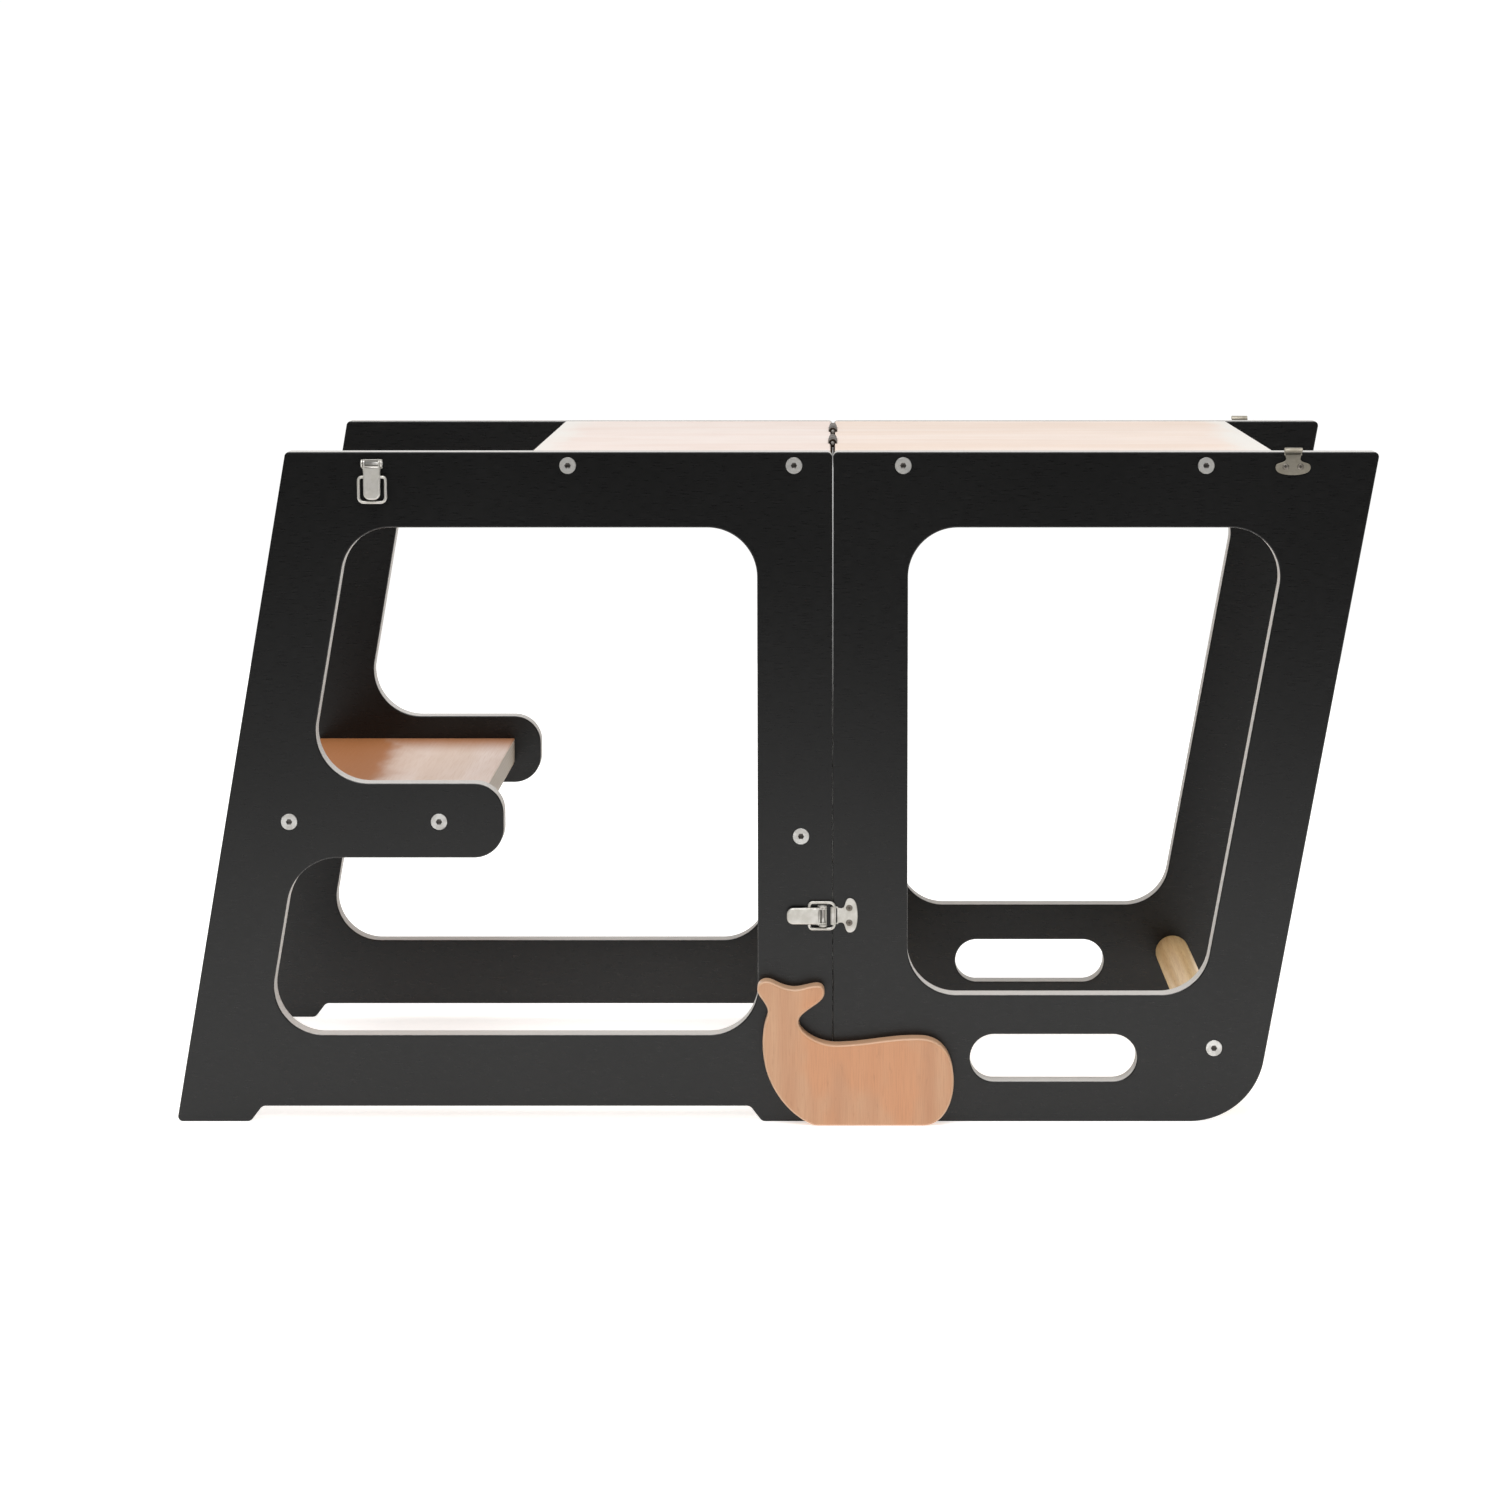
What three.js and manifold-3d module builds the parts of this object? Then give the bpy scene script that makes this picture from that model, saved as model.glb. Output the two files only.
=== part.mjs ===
// A folding learning tower, opened out as a low table with a seat.
// Its upper half is hinged at the seam under the two tabletops and folds up and over onto the base half.
// Millimetres: X runs along the table from the seat end, Y across it, Z up from the floor.
// Pieces are laid out about the seam. The whole is then shifted so that the origin is under its middle.
import * as THREE from 'three';
import { mergeVertices } from 'three/addons/utils/BufferGeometryUtils.js';
import Module from 'manifold-3d';

const wasm = await Module();
wasm.setup();

// Overall sizes
const TABLE_HEIGHT = 450;
const TABLE_WIDTH = 400;
const HALF_LENGTH = 361.5;
const SPLAY = THREE.MathUtils.degToRad(10);
const SEAM_GAP = 3;
const PANEL_GAP = 1.4;
const PANEL_THICKNESS = 18;
const BOARD_THICKNESS = 18;

// Side panels
const MEMBER_WIDTH = 50;
const WINDOW_RADIUS = 33;
const EDGE_CORNER_RADIUS = 3;
const BASE_SILL_HEIGHT = 59;
const UPPER_SILL_HEIGHT = 86.2;
const UPPER_CORNER_RADIUS = 50;
const OUTER_FOOT_LENGTH = 49.5;
const SEAM_FOOT_LENGTH = 46;
const RECESS_HEIGHT = 10.5;
const RECESS_RUN = 8;
const RECESS_RADIUS = 4.5;

// Seat arm of the base panels, and the seat board between the arms
const ARM_BOTTOM = 179.2;
const ARM_WIDTH = 50;
const ARM_TO_SEAM = 219.3;
const ARM_END_RADIUS = 20;
const ARM_ROOT_RADIUS = 35;
const SEAT_DEPTH = 147;
const SEAT_SETBACK = 19.7;
const SEAT_BELOW_ARM = 16.8;
const SEAT_SCREW_INSET = 23.5;

// Tabletops and cross rails
const BASE_TOP_LENGTH = 197.5;
const BASE_TOP_SCREW_INSET = 24;
const UPPER_TOP_LENGTH = 290.5;
const UPPER_TOP_SCREW_INSET = 45.2;
const RAIL_DIAMETER = 25;
const BASE_RAIL_TO_SEAM = 21.1;
const BASE_RAIL_HEIGHT = 193.6;
const UPPER_RAIL_HEIGHT = 50;
const BACK_RAIL_TO_SEAM = 23.1;
const FRONT_RAIL_TO_EDGE = 26.2;

// Handle slot at the foot of each upper panel, which is the top of the tower
const SLOT_LENGTH = 112;
const SLOT_WIDTH = 32.3;
const SLOT_TO_SEAM = 148.2;
const SLOT_HEIGHT = 43.4;

// Countersunk screws with a hexagonal socket
const SCREW_LENGTH = 50;
const SCREW_RADIUS = 3;
const SCREW_HEAD_RADIUS = 5.5;
const SCREW_HEAD_DEPTH = 3.3;
const SOCKET_RADIUS = 2.3;
const SOCKET_DEPTH = 2.4;
const SCREW_CLEARANCE = 0.3;

// Whale-shaped feet, which steady the tower behind the seam
const WHALE_HEIGHT = 98.4;
const WHALE_THICKNESS = 15;
const WHALE_SCREW_LENGTH = 28;
const WHALE_SCREW_RADIUS = 2;
const WHALE_SCREW_HEAD_RADIUS = 4;

// Seam hinges
const FOLD_CLEARANCE = 0.3;
const HINGE_LENGTH = 65;
const HINGE_TO_MIDDLE = 72;
const HINGE_KNUCKLES = 5;
const KNUCKLE_RADIUS = 2.75;
const HINGE_PIN_RADIUS = 1.2;
const HINGE_BORE_CLEARANCE = 0.3;
const LEAF_THICKNESS = 1;
const LEAF_HEIGHT = 13.5;
const LEAF_SPACING = 0.4;
const KNUCKLE_GAP = 0.3;
const KNUCKLE_RELIEF = 0.4;

// Toggle latches: u runs towards the keeper, v across the latch, w out from the panel
const FACE_GAP = 0.3;
const SEAM_LATCH_HEIGHT = 140.5;
const SEAM_BAR_PAST_SEAM = 1.2;
const FRONT_LATCH_TO_EDGE = 57.5;
const BAR_REACH = 7.7;
const PIVOT_HEIGHT = 4;
const LATCH_PIN_RADIUS = 1;
const LATCH_PIN_CLEARANCE = 0.25;
const PLATE_THICKNESS = 1;
const TONGUE_LENGTH = 21;
const TONGUE_HALF_WIDTH = 4;
const EAR_THICKNESS = 1.2;
const EAR_HALF_LENGTH = 2.6;
const EAR_GAP = 0.4;
const LEVER_LENGTH = 24;
const LEVER_WIDTH = 11.2;
const LEVER_SHEET = 1.1;
const LEVER_TIP_RADIUS = 4.4;
const LEVER_ROOT = 2.2;
const LEVER_TOP_SETBACK = 1.7;
const BAIL_PIVOT_BACK = 9;
const BAIL_HEIGHT = 2.7;
const BAIL_WIRE_RADIUS = 1;
const BAIL_HALF_WIDTH = 8.9;
const BAIL_CORNER_RADIUS = 3.4;
const BAIL_ROOT_RADIUS = 2.2;
const BAIL_HOLE_CLEARANCE = 0.3;

// Keepers
const KEEPER_THICKNESS = 1.2;
const KEEPER_NECK_WIDTH = 10.8;
const KEEPER_LIP_HEIGHT = 4.2;
const KEEPER_NECK_END = 15;
const KEEPER_HEAD_LENGTH = 8.1;
const KEEPER_HEAD_WIDTH = 22.8;
const KEEPER_HEAD_RADIUS = 3.2;
const KEEPER_HOLE_RADIUS = 1.4;
const KEEPER_HOLE_SPACING = 9.1;

// Fineness of the round shapes
const CHORD_ERROR = 0.15;
const ROUND_SIDES = 10;
const RAIL_SIDES = 24;
const WHALE_CURVE_STEPS = 5;
const BAIL_STEPS = 24;

// Sizes worked out from the ones above
const SIDES = [{ name: 'right', sign: -1 }, { name: 'left', sign: 1 }];
const HALF_SEAM = SEAM_GAP / 2;
const PANEL_SEAM = PANEL_GAP / 2;
const OUTER_FACE = TABLE_WIDTH / 2;
const INNER_FACE = OUTER_FACE - PANEL_THICKNESS;
const SPREAD = TABLE_HEIGHT * Math.tan(SPLAY);
const FOLD_HEIGHT = TABLE_HEIGHT + FOLD_CLEARANCE;
const ARM_TOP = ARM_BOTTOM + ARM_WIDTH;
const SEAT_MIDDLE = -(ARM_TO_SEAM + SEAT_SETBACK + SEAT_DEPTH / 2);
const SEAT_HEIGHT = ARM_TOP - SEAT_BELOW_ARM - BOARD_THICKNESS / 2;
const TABLETOP_MIDDLE = TABLE_HEIGHT - BOARD_THICKNESS / 2;
const FRONT_RAIL_TO_SEAM = HALF_LENGTH - SPREAD - FRONT_RAIL_TO_EDGE;
const FRONT_LATCH_TO_SEAM = HALF_LENGTH - FRONT_LATCH_TO_EDGE;
const EAR_INNER = LEVER_WIDTH / 2 + EAR_GAP;
const EAR_OUTER = EAR_INNER + EAR_THICKNESS;
const LATCH_BORE_RADIUS = LATCH_PIN_RADIUS + LATCH_PIN_CLEARANCE;
const BAIL_LENGTH = BAIL_PIVOT_BACK + BAR_REACH;
const KEEPER_START = BAR_REACH - BAIL_WIRE_RADIUS - BAIL_HOLE_CLEARANCE - KEEPER_THICKNESS;
const TOWER_SHIFT = SPREAD / 2;

// Points of a closed outline through corners [x, y, radius], each rounded by an arc that touches both sides.
function roundedOutline(corners) {
  return corners.flatMap(([x, y, radius], index) => {
    const corner = new THREE.Vector2(x, y);
    if (radius === 0) return [corner];
    const before = corners.at(index - 1);
    const after = corners[(index + 1) % corners.length];
    const back = new THREE.Vector2(before[0], before[1]).sub(corner).normalize();
    const ahead = new THREE.Vector2(after[0], after[1]).sub(corner).normalize();
    const half = back.angleTo(ahead) / 2;
    const centre = back.clone().add(ahead).setLength(radius / Math.sin(half)).add(corner);
    const start = back.clone().setLength(radius / Math.tan(half)).add(corner).sub(centre).angle();
    const turn = Math.PI - 2 * half;
    const sweep = back.cross(ahead) > 0 ? -turn : turn;
    const steps = Math.ceil(turn / (2 * Math.acos(1 - CHORD_ERROR / radius)));
    return Array.from({ length: steps + 1 }, (_, step) => {
      const angle = start + (sweep * step) / steps;
      return new THREE.Vector2(radius * Math.cos(angle), radius * Math.sin(angle)).add(centre);
    });
  });
}

// A circular hole of a flat shape.
function roundHole(x, y, radius) {
  return new THREE.Path().absarc(x, y, radius, 0, 2 * Math.PI);
}

// A flat shape given some thickness along +Z.
function sheet(shape, thickness, curveSegments = ROUND_SIDES / 2) {
  return new THREE.ExtrudeGeometry(shape, { depth: thickness, bevelEnabled: false, curveSegments });
}

// A sheet stood up in the XZ plane, its thickness running from y to y + thickness.
function standingSheet(shape, thickness, y, curveSegments) {
  return sheet(shape, thickness, curveSegments).rotateX(Math.PI / 2).translate(0, y + thickness, 0);
}

// A closed geometry as a solid that can be joined and cut. Triangles that shrank to nothing are left out.
function solidOf(geometry) {
  const bare = new THREE.BufferGeometry();
  bare.setAttribute('position', geometry.getAttribute('position'));
  bare.setIndex(geometry.getIndex());
  const merged = mergeVertices(bare, 1e-4);
  const corners = merged.getIndex().array;
  const triangles = [];
  for (let i = 0; i < corners.length; i += 3) {
    const [a, b, c] = corners.slice(i, i + 3);
    if (a !== b && b !== c && c !== a) triangles.push(a, b, c);
  }
  const vertProperties = new Float32Array(merged.getAttribute('position').array);
  const triVerts = new Uint32Array(triangles);
  return new wasm.Manifold(new wasm.Mesh({ numProp: 3, vertProperties, triVerts }));
}

// A solid as a geometry again, flat-shaded.
function geometryOf(solid) {
  const { vertProperties, triVerts } = solid.getMesh();
  const geometry = new THREE.BufferGeometry();
  geometry.setAttribute('position', new THREE.BufferAttribute(new Float32Array(vertProperties), 3));
  geometry.setIndex(new THREE.BufferAttribute(new Uint32Array(triVerts), 1));
  const flat = geometry.toNonIndexed();
  flat.computeVertexNormals();
  return flat;
}

// The first geometry joined with the others.
function join(first, ...others) {
  return geometryOf(others.reduce((solid, other) => solid.add(solidOf(other)), solidOf(first)));
}

// A geometry with others cut out of it.
function cut(geometry, others) {
  return geometryOf(others.reduce((solid, other) => solid.subtract(solidOf(other)), solidOf(geometry)));
}

// Finishes
const blackLaminate = () => new THREE.MeshStandardMaterial({ color: 0x232323, roughness: 0.55 });
const paleBirch = () => new THREE.MeshStandardMaterial({ color: 0xf0e0d0, roughness: 0.5 });
const beech = () => new THREE.MeshStandardMaterial({ color: 0xcf9a76, roughness: 0.55 });
const dowelWood = () => new THREE.MeshStandardMaterial({ color: 0xb39056, roughness: 0.6 });
const nickel = () => new THREE.MeshStandardMaterial({ color: 0xc8c4bc, roughness: 0.3, metalness: 1 });
const zincSteel = () => new THREE.MeshStandardMaterial({ color: 0xa9a6a0, roughness: 0.4, metalness: 1 });

function piece(name, geometry, material, x = 0, y = 0, z = 0) {
  const mesh = new THREE.Mesh(geometry, material);
  mesh.name = name;
  mesh.position.set(x, y, z);
  return mesh;
}

// Screws: the head's face is at y = 0 and the tip at y = length

// The room that a screw takes, with clearance all round and open past the head's face.
function screwRoom(radius, headRadius, length) {
  const headDepth = SCREW_HEAD_DEPTH * (headRadius / SCREW_HEAD_RADIUS);
  const profile = [
    [0, -1],
    [headRadius + SCREW_CLEARANCE, -1],
    [headRadius + SCREW_CLEARANCE, SCREW_CLEARANCE],
    [radius + SCREW_CLEARANCE, headDepth + SCREW_CLEARANCE],
    [radius + SCREW_CLEARANCE, length + SCREW_CLEARANCE],
    [0, length + SCREW_CLEARANCE],
  ];
  return new THREE.LatheGeometry(profile.map(([r, y]) => new THREE.Vector2(r, y)), ROUND_SIDES);
}

// A countersunk screw with its hexagonal socket.
function screw(radius, headRadius, length) {
  const headDepth = SCREW_HEAD_DEPTH * (headRadius / SCREW_HEAD_RADIUS);
  const profile = [
    [0, 0],
    [headRadius, 0],
    [radius, headDepth],
    [radius, length - radius],
    [0, length],
  ];
  const body = new THREE.LatheGeometry(profile.map(([r, y]) => new THREE.Vector2(r, y)), ROUND_SIDES);
  const socketRadius = SOCKET_RADIUS * (headRadius / SCREW_HEAD_RADIUS);
  const socket = new THREE.CylinderGeometry(socketRadius, socketRadius, 2 * SOCKET_DEPTH, 6);
  return cut(body, [socket]);
}

// Where the long screws go on one side: x, z, and whether the screw is in the base half.
const SCREW_SPOTS = {
  base_tabletop_outer: [-(HALF_SEAM + BASE_TOP_LENGTH - BASE_TOP_SCREW_INSET), TABLETOP_MIDDLE, 'base'],
  base_tabletop_seam: [-(HALF_SEAM + BASE_TOP_SCREW_INSET), TABLETOP_MIDDLE, 'base'],
  seat_outer: [SEAT_MIDDLE - SEAT_DEPTH / 2 + SEAT_SCREW_INSET, SEAT_HEIGHT, 'base'],
  seat_inner: [SEAT_MIDDLE + SEAT_DEPTH / 2 - SEAT_SCREW_INSET, SEAT_HEIGHT, 'base'],
  base_rail: [-BASE_RAIL_TO_SEAM, BASE_RAIL_HEIGHT, 'base'],
  upper_tabletop_seam: [HALF_SEAM + UPPER_TOP_SCREW_INSET, TABLETOP_MIDDLE, 'upper'],
  upper_tabletop_outer: [HALF_SEAM + UPPER_TOP_LENGTH - UPPER_TOP_SCREW_INSET, TABLETOP_MIDDLE, 'upper'],
  upper_back_rail: [BACK_RAIL_TO_SEAM, UPPER_RAIL_HEIGHT, 'upper'],
  upper_front_rail: [FRONT_RAIL_TO_SEAM, UPPER_RAIL_HEIGHT, 'upper'],
};

// Rooms of the long screws of one half, on one side, placed in the frame of a piece that lies at [x, y, z].
function longScrewRooms(half, side, [x, y, z]) {
  return Object.values(SCREW_SPOTS)
    .filter((spot) => spot[2] === half)
    .map(([spotX, spotZ]) => {
      const room = screwRoom(SCREW_RADIUS, SCREW_HEAD_RADIUS, SCREW_LENGTH);
      if (side.sign > 0) room.rotateZ(Math.PI);
      return room.translate(spotX - x, side.sign * OUTER_FACE - y, spotZ - z);
    });
}

// The long screws of one half and one side.
function longScrews(half, side) {
  return Object.entries(SCREW_SPOTS)
    .filter(([, spot]) => spot[2] === half)
    .map(([name, [x, z]]) => {
      const body = screw(SCREW_RADIUS, SCREW_HEAD_RADIUS, SCREW_LENGTH);
      const mesh = piece(`screw_${name}_${side.name}`, body, zincSteel(), x, side.sign * OUTER_FACE, z);
      mesh.rotation.z = side.sign > 0 ? Math.PI : 0;
      return mesh;
    });
}

// Side panels

// The outer edge of the base half at a height, and of the upper half on the other side of the seam.
const baseEdge = (z) => -(HALF_LENGTH + (TABLE_HEIGHT - z) * Math.tan(SPLAY));
const upperEdge = (z) => HALF_LENGTH - (TABLE_HEIGHT - z) * Math.tan(SPLAY);

// Outline of a base panel: a foot at each end with a shallow recess between them.
function basePanelOutline() {
  const recessStart = baseEdge(0) + OUTER_FOOT_LENGTH;
  const recessEnd = -(HALF_SEAM + SEAM_FOOT_LENGTH);
  return roundedOutline([
    [-PANEL_SEAM, TABLE_HEIGHT, EDGE_CORNER_RADIUS],
    [-HALF_LENGTH, TABLE_HEIGHT, EDGE_CORNER_RADIUS],
    [baseEdge(0), 0, EDGE_CORNER_RADIUS],
    [recessStart, 0, RECESS_RADIUS],
    [recessStart + RECESS_RUN, RECESS_HEIGHT, RECESS_RADIUS],
    [recessEnd - RECESS_RUN, RECESS_HEIGHT, RECESS_RADIUS],
    [recessEnd, 0, RECESS_RADIUS],
    [-PANEL_SEAM, 0, EDGE_CORNER_RADIUS],
  ]);
}

// Window of a base panel, with the seat arm reaching into it.
function basePanelWindow() {
  const windowTop = TABLE_HEIGHT - MEMBER_WIDTH;
  return roundedOutline([
    [-MEMBER_WIDTH, windowTop, WINDOW_RADIUS],
    [-MEMBER_WIDTH, BASE_SILL_HEIGHT, WINDOW_RADIUS],
    [baseEdge(BASE_SILL_HEIGHT) + MEMBER_WIDTH, BASE_SILL_HEIGHT, WINDOW_RADIUS],
    [baseEdge(ARM_BOTTOM) + MEMBER_WIDTH, ARM_BOTTOM, ARM_ROOT_RADIUS],
    [-ARM_TO_SEAM, ARM_BOTTOM, ARM_END_RADIUS],
    [-ARM_TO_SEAM, ARM_TOP, ARM_END_RADIUS],
    [baseEdge(ARM_TOP) + MEMBER_WIDTH, ARM_TOP, ARM_ROOT_RADIUS],
    [baseEdge(windowTop) + MEMBER_WIDTH, windowTop, WINDOW_RADIUS],
  ]);
}

function upperPanelOutline() {
  return roundedOutline([
    [PANEL_SEAM, TABLE_HEIGHT, EDGE_CORNER_RADIUS],
    [PANEL_SEAM, 0, EDGE_CORNER_RADIUS],
    [upperEdge(0), 0, UPPER_CORNER_RADIUS],
    [HALF_LENGTH, TABLE_HEIGHT, EDGE_CORNER_RADIUS],
  ]);
}

function upperPanelWindow() {
  const windowTop = TABLE_HEIGHT - MEMBER_WIDTH;
  return roundedOutline([
    [MEMBER_WIDTH, windowTop, WINDOW_RADIUS],
    [MEMBER_WIDTH, UPPER_SILL_HEIGHT, WINDOW_RADIUS],
    [upperEdge(UPPER_SILL_HEIGHT) - MEMBER_WIDTH, UPPER_SILL_HEIGHT, WINDOW_RADIUS],
    [upperEdge(windowTop) - MEMBER_WIDTH, windowTop, WINDOW_RADIUS],
  ]);
}

function handleSlot() {
  const [halfLength, radius] = [SLOT_LENGTH / 2, SLOT_WIDTH / 2];
  return roundedOutline([
    [SLOT_TO_SEAM - halfLength, SLOT_HEIGHT - radius, radius],
    [SLOT_TO_SEAM + halfLength, SLOT_HEIGHT - radius, radius],
    [SLOT_TO_SEAM + halfLength, SLOT_HEIGHT + radius, radius],
    [SLOT_TO_SEAM - halfLength, SLOT_HEIGHT + radius, radius],
  ]);
}

// A side panel: its outer face is at y = 0 and it is cut by the room of each screw that passes it.
function sidePanel(outline, openings, half, side, moreRooms = []) {
  const shape = new THREE.Shape(outline);
  shape.holes = openings.map((opening) => new THREE.Path(opening));
  const board = standingSheet(shape, PANEL_THICKNESS, side.sign < 0 ? 0 : -PANEL_THICKNESS);
  const rooms = longScrewRooms(half, side, [0, side.sign * OUTER_FACE, 0]);
  return cut(board, [...rooms, ...moreRooms]);
}

// Boards and rails between the side panels

const BOARD_WIDTH = 2 * INNER_FACE;

// A board lying between the side panels, centred at x and z, with room for its screws and for more cutters.
function board(name, half, length, x, z, cutters = []) {
  const slab = new THREE.BoxGeometry(length, BOARD_WIDTH, BOARD_THICKNESS);
  const rooms = SIDES.flatMap((side) => longScrewRooms(half, side, [x, 0, z]));
  const placed = cutters.map((cutter) => cutter.clone().translate(-x, 0, -z));
  return piece(name, cut(slab, [...rooms, ...placed]), paleBirch(), x, 0, z);
}

// A round rail between the side panels.
function rail(name, half, x, z) {
  const rod = new THREE.CylinderGeometry(RAIL_DIAMETER / 2, RAIL_DIAMETER / 2, BOARD_WIDTH, RAIL_SIDES);
  const rooms = SIDES.flatMap((side) => longScrewRooms(half, side, [x, 0, z]));
  return piece(name, cut(rod, rooms), dowelWood(), x, 0, z);
}

// Whale feet

// The outline is drawn 98.4 units high, about the foot of the seam. The screws are placed in the same units.
const WHALE_UNIT = WHALE_HEIGHT / 98.4;
const whalePoint = (x, z) => [x * WHALE_UNIT, z * WHALE_UNIT];
const WHALE_SCREW_SPOTS = { tail: whalePoint(-32, 76), belly: whalePoint(-20, 26) };

function whaleShape() {
  const whale = new THREE.Shape();
  const curve = (...points) => whale.bezierCurveTo(...points.map((value) => value * WHALE_UNIT));
  whale.moveTo(...whalePoint(-12, 0));
  whale.lineTo(...whalePoint(62, 0));
  curve(74, 1, 81, 15, 81, 30);
  curve(81, 47, 74, 59.5, 58, 59.5);
  curve(38, 60, 22, 55, 2, 55);
  curve(-12, 55.5, -22.5, 64, -23, 70.5);
  curve(-22.5, 76, -15, 79, -9, 84);
  curve(-4, 87.5, -4, 94, -9, 95.3);
  curve(-16, 95.6, -22, 91.5, -28.5, 93);
  curve(-36, 94, -40, 98.6, -44.4, 98.4);
  curve(-50, 98, -52, 93, -49, 88.5);
  curve(-46, 84, -42, 80, -43.4, 75);
  curve(-47.5, 65, -48, 52, -44.5, 38);
  curve(-40, 22, -28, 6, -12, 0);
  return whale;
}

// Rooms of the screws that hold a whale foot, seen from a piece whose origin is at y.
function whaleScrewRooms(side, y) {
  return Object.values(WHALE_SCREW_SPOTS).map(([x, z]) => {
    const room = screwRoom(WHALE_SCREW_RADIUS, WHALE_SCREW_HEAD_RADIUS, WHALE_SCREW_LENGTH);
    if (side.sign < 0) room.rotateZ(Math.PI);
    return room.translate(x, side.sign * INNER_FACE - y, z);
  });
}

function whaleFoot(side) {
  const inner = side.sign * (OUTER_FACE + FACE_GAP);
  const start = side.sign < 0 ? -WHALE_THICKNESS : 0;
  const slab = standingSheet(whaleShape(), WHALE_THICKNESS, start, WHALE_CURVE_STEPS);
  return piece(`whale_foot_${side.name}`, cut(slab, whaleScrewRooms(side, inner)), beech(), 0, inner, 0);
}

function whaleScrews(side) {
  return Object.entries(WHALE_SCREW_SPOTS).map(([name, [x, z]]) => {
    const body = screw(WHALE_SCREW_RADIUS, WHALE_SCREW_HEAD_RADIUS, WHALE_SCREW_LENGTH);
    const mesh = piece(`screw_whale_${name}_${side.name}`, body, zincSteel(), x, side.sign * INNER_FACE, z);
    mesh.rotation.z = side.sign < 0 ? Math.PI : 0;
    return mesh;
  });
}

// Seam hinges, laid out about their pin: y along the pin, z up

// The room that the knuckles of one hinge need at the top edge of the boards.
function knuckleRoom(side) {
  const radius = KNUCKLE_RADIUS + KNUCKLE_RELIEF;
  const length = HINGE_LENGTH + 2 * KNUCKLE_RELIEF;
  const room = new THREE.CylinderGeometry(radius, radius, length, ROUND_SIDES);
  return room.translate(0, side.sign * HINGE_TO_MIDDLE, FOLD_HEIGHT);
}

// A leaf with every second knuckle. sideOfSeam is -1 for the base leaf and 1 for the upper leaf.
function hingeLeaf(sideOfSeam) {
  const x = sideOfSeam * (LEAF_SPACING / 2 + LEAF_THICKNESS / 2);
  const plateTop = -(KNUCKLE_RADIUS + KNUCKLE_GAP);
  const plate = new THREE.BoxGeometry(LEAF_THICKNESS, HINGE_LENGTH, LEAF_HEIGHT);
  plate.translate(x, 0, plateTop - LEAF_HEIGHT / 2);
  const boreRadius = HINGE_PIN_RADIUS + HINGE_BORE_CLEARANCE;
  const neckTop = -(boreRadius + KNUCKLE_RADIUS) / 2;
  const neckHeight = neckTop - plateTop + LEAF_THICKNESS;
  const pitch = HINGE_LENGTH / HINGE_KNUCKLES;
  const knuckleLength = pitch - KNUCKLE_GAP;
  const parts = [];
  for (let index = sideOfSeam < 0 ? 0 : 1; index < HINGE_KNUCKLES; index += 2) {
    const y = (index + 0.5) * pitch - HINGE_LENGTH / 2;
    const neck = new THREE.BoxGeometry(LEAF_THICKNESS, knuckleLength, neckHeight);
    parts.push(neck.translate(x, y, neckTop - neckHeight / 2));
    parts.push(tube(boreRadius, KNUCKLE_RADIUS, knuckleLength).translate(0, y, 0));
  }
  return join(plate, ...parts);
}

// A tube along y, centred.
function tube(inner, outer, length) {
  const profile = [[inner, -1], [outer, -1], [outer, 1], [inner, 1], [inner, -1]];
  const points = profile.map(([r, end]) => new THREE.Vector2(r, (end * length) / 2));
  return new THREE.LatheGeometry(points, ROUND_SIDES);
}

function hingePin() {
  return new THREE.CylinderGeometry(HINGE_PIN_RADIUS, HINGE_PIN_RADIUS, HINGE_LENGTH, ROUND_SIDES);
}

// Toggle latches, in their own u, v, w

// Base plate: a tongue under the lever and a wider root with two ears that hold the pivot pin.
function latchPlate() {
  const root = EAR_HALF_LENGTH + BAIL_WIRE_RADIUS;
  const outline = roundedOutline([
    [-TONGUE_LENGTH, -TONGUE_HALF_WIDTH, 2],
    [-root, -TONGUE_HALF_WIDTH, 0],
    [-root, -EAR_OUTER, 0],
    [EAR_HALF_LENGTH, -EAR_OUTER, 0],
    [EAR_HALF_LENGTH, EAR_OUTER, 0],
    [-root, EAR_OUTER, 0],
    [-root, TONGUE_HALF_WIDTH, 0],
    [-TONGUE_LENGTH, TONGUE_HALF_WIDTH, 2],
  ]);
  const ears = SIDES.map(({ sign }) => {
    const ear = new THREE.Shape(roundedOutline([
      [-EAR_HALF_LENGTH, 0, 0],
      [EAR_HALF_LENGTH, 0, 0],
      [EAR_HALF_LENGTH, PIVOT_HEIGHT + EAR_HALF_LENGTH, EAR_HALF_LENGTH * 0.9],
      [-EAR_HALF_LENGTH, PIVOT_HEIGHT + EAR_HALF_LENGTH, EAR_HALF_LENGTH * 0.9],
    ]));
    ear.holes.push(roundHole(0, PIVOT_HEIGHT, LATCH_BORE_RADIUS));
    return standingSheet(ear, EAR_THICKNESS, sign < 0 ? -EAR_OUTER : EAR_INNER);
  });
  return join(sheet(new THREE.Shape(outline), PLATE_THICKNESS), ...ears);
}

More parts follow.
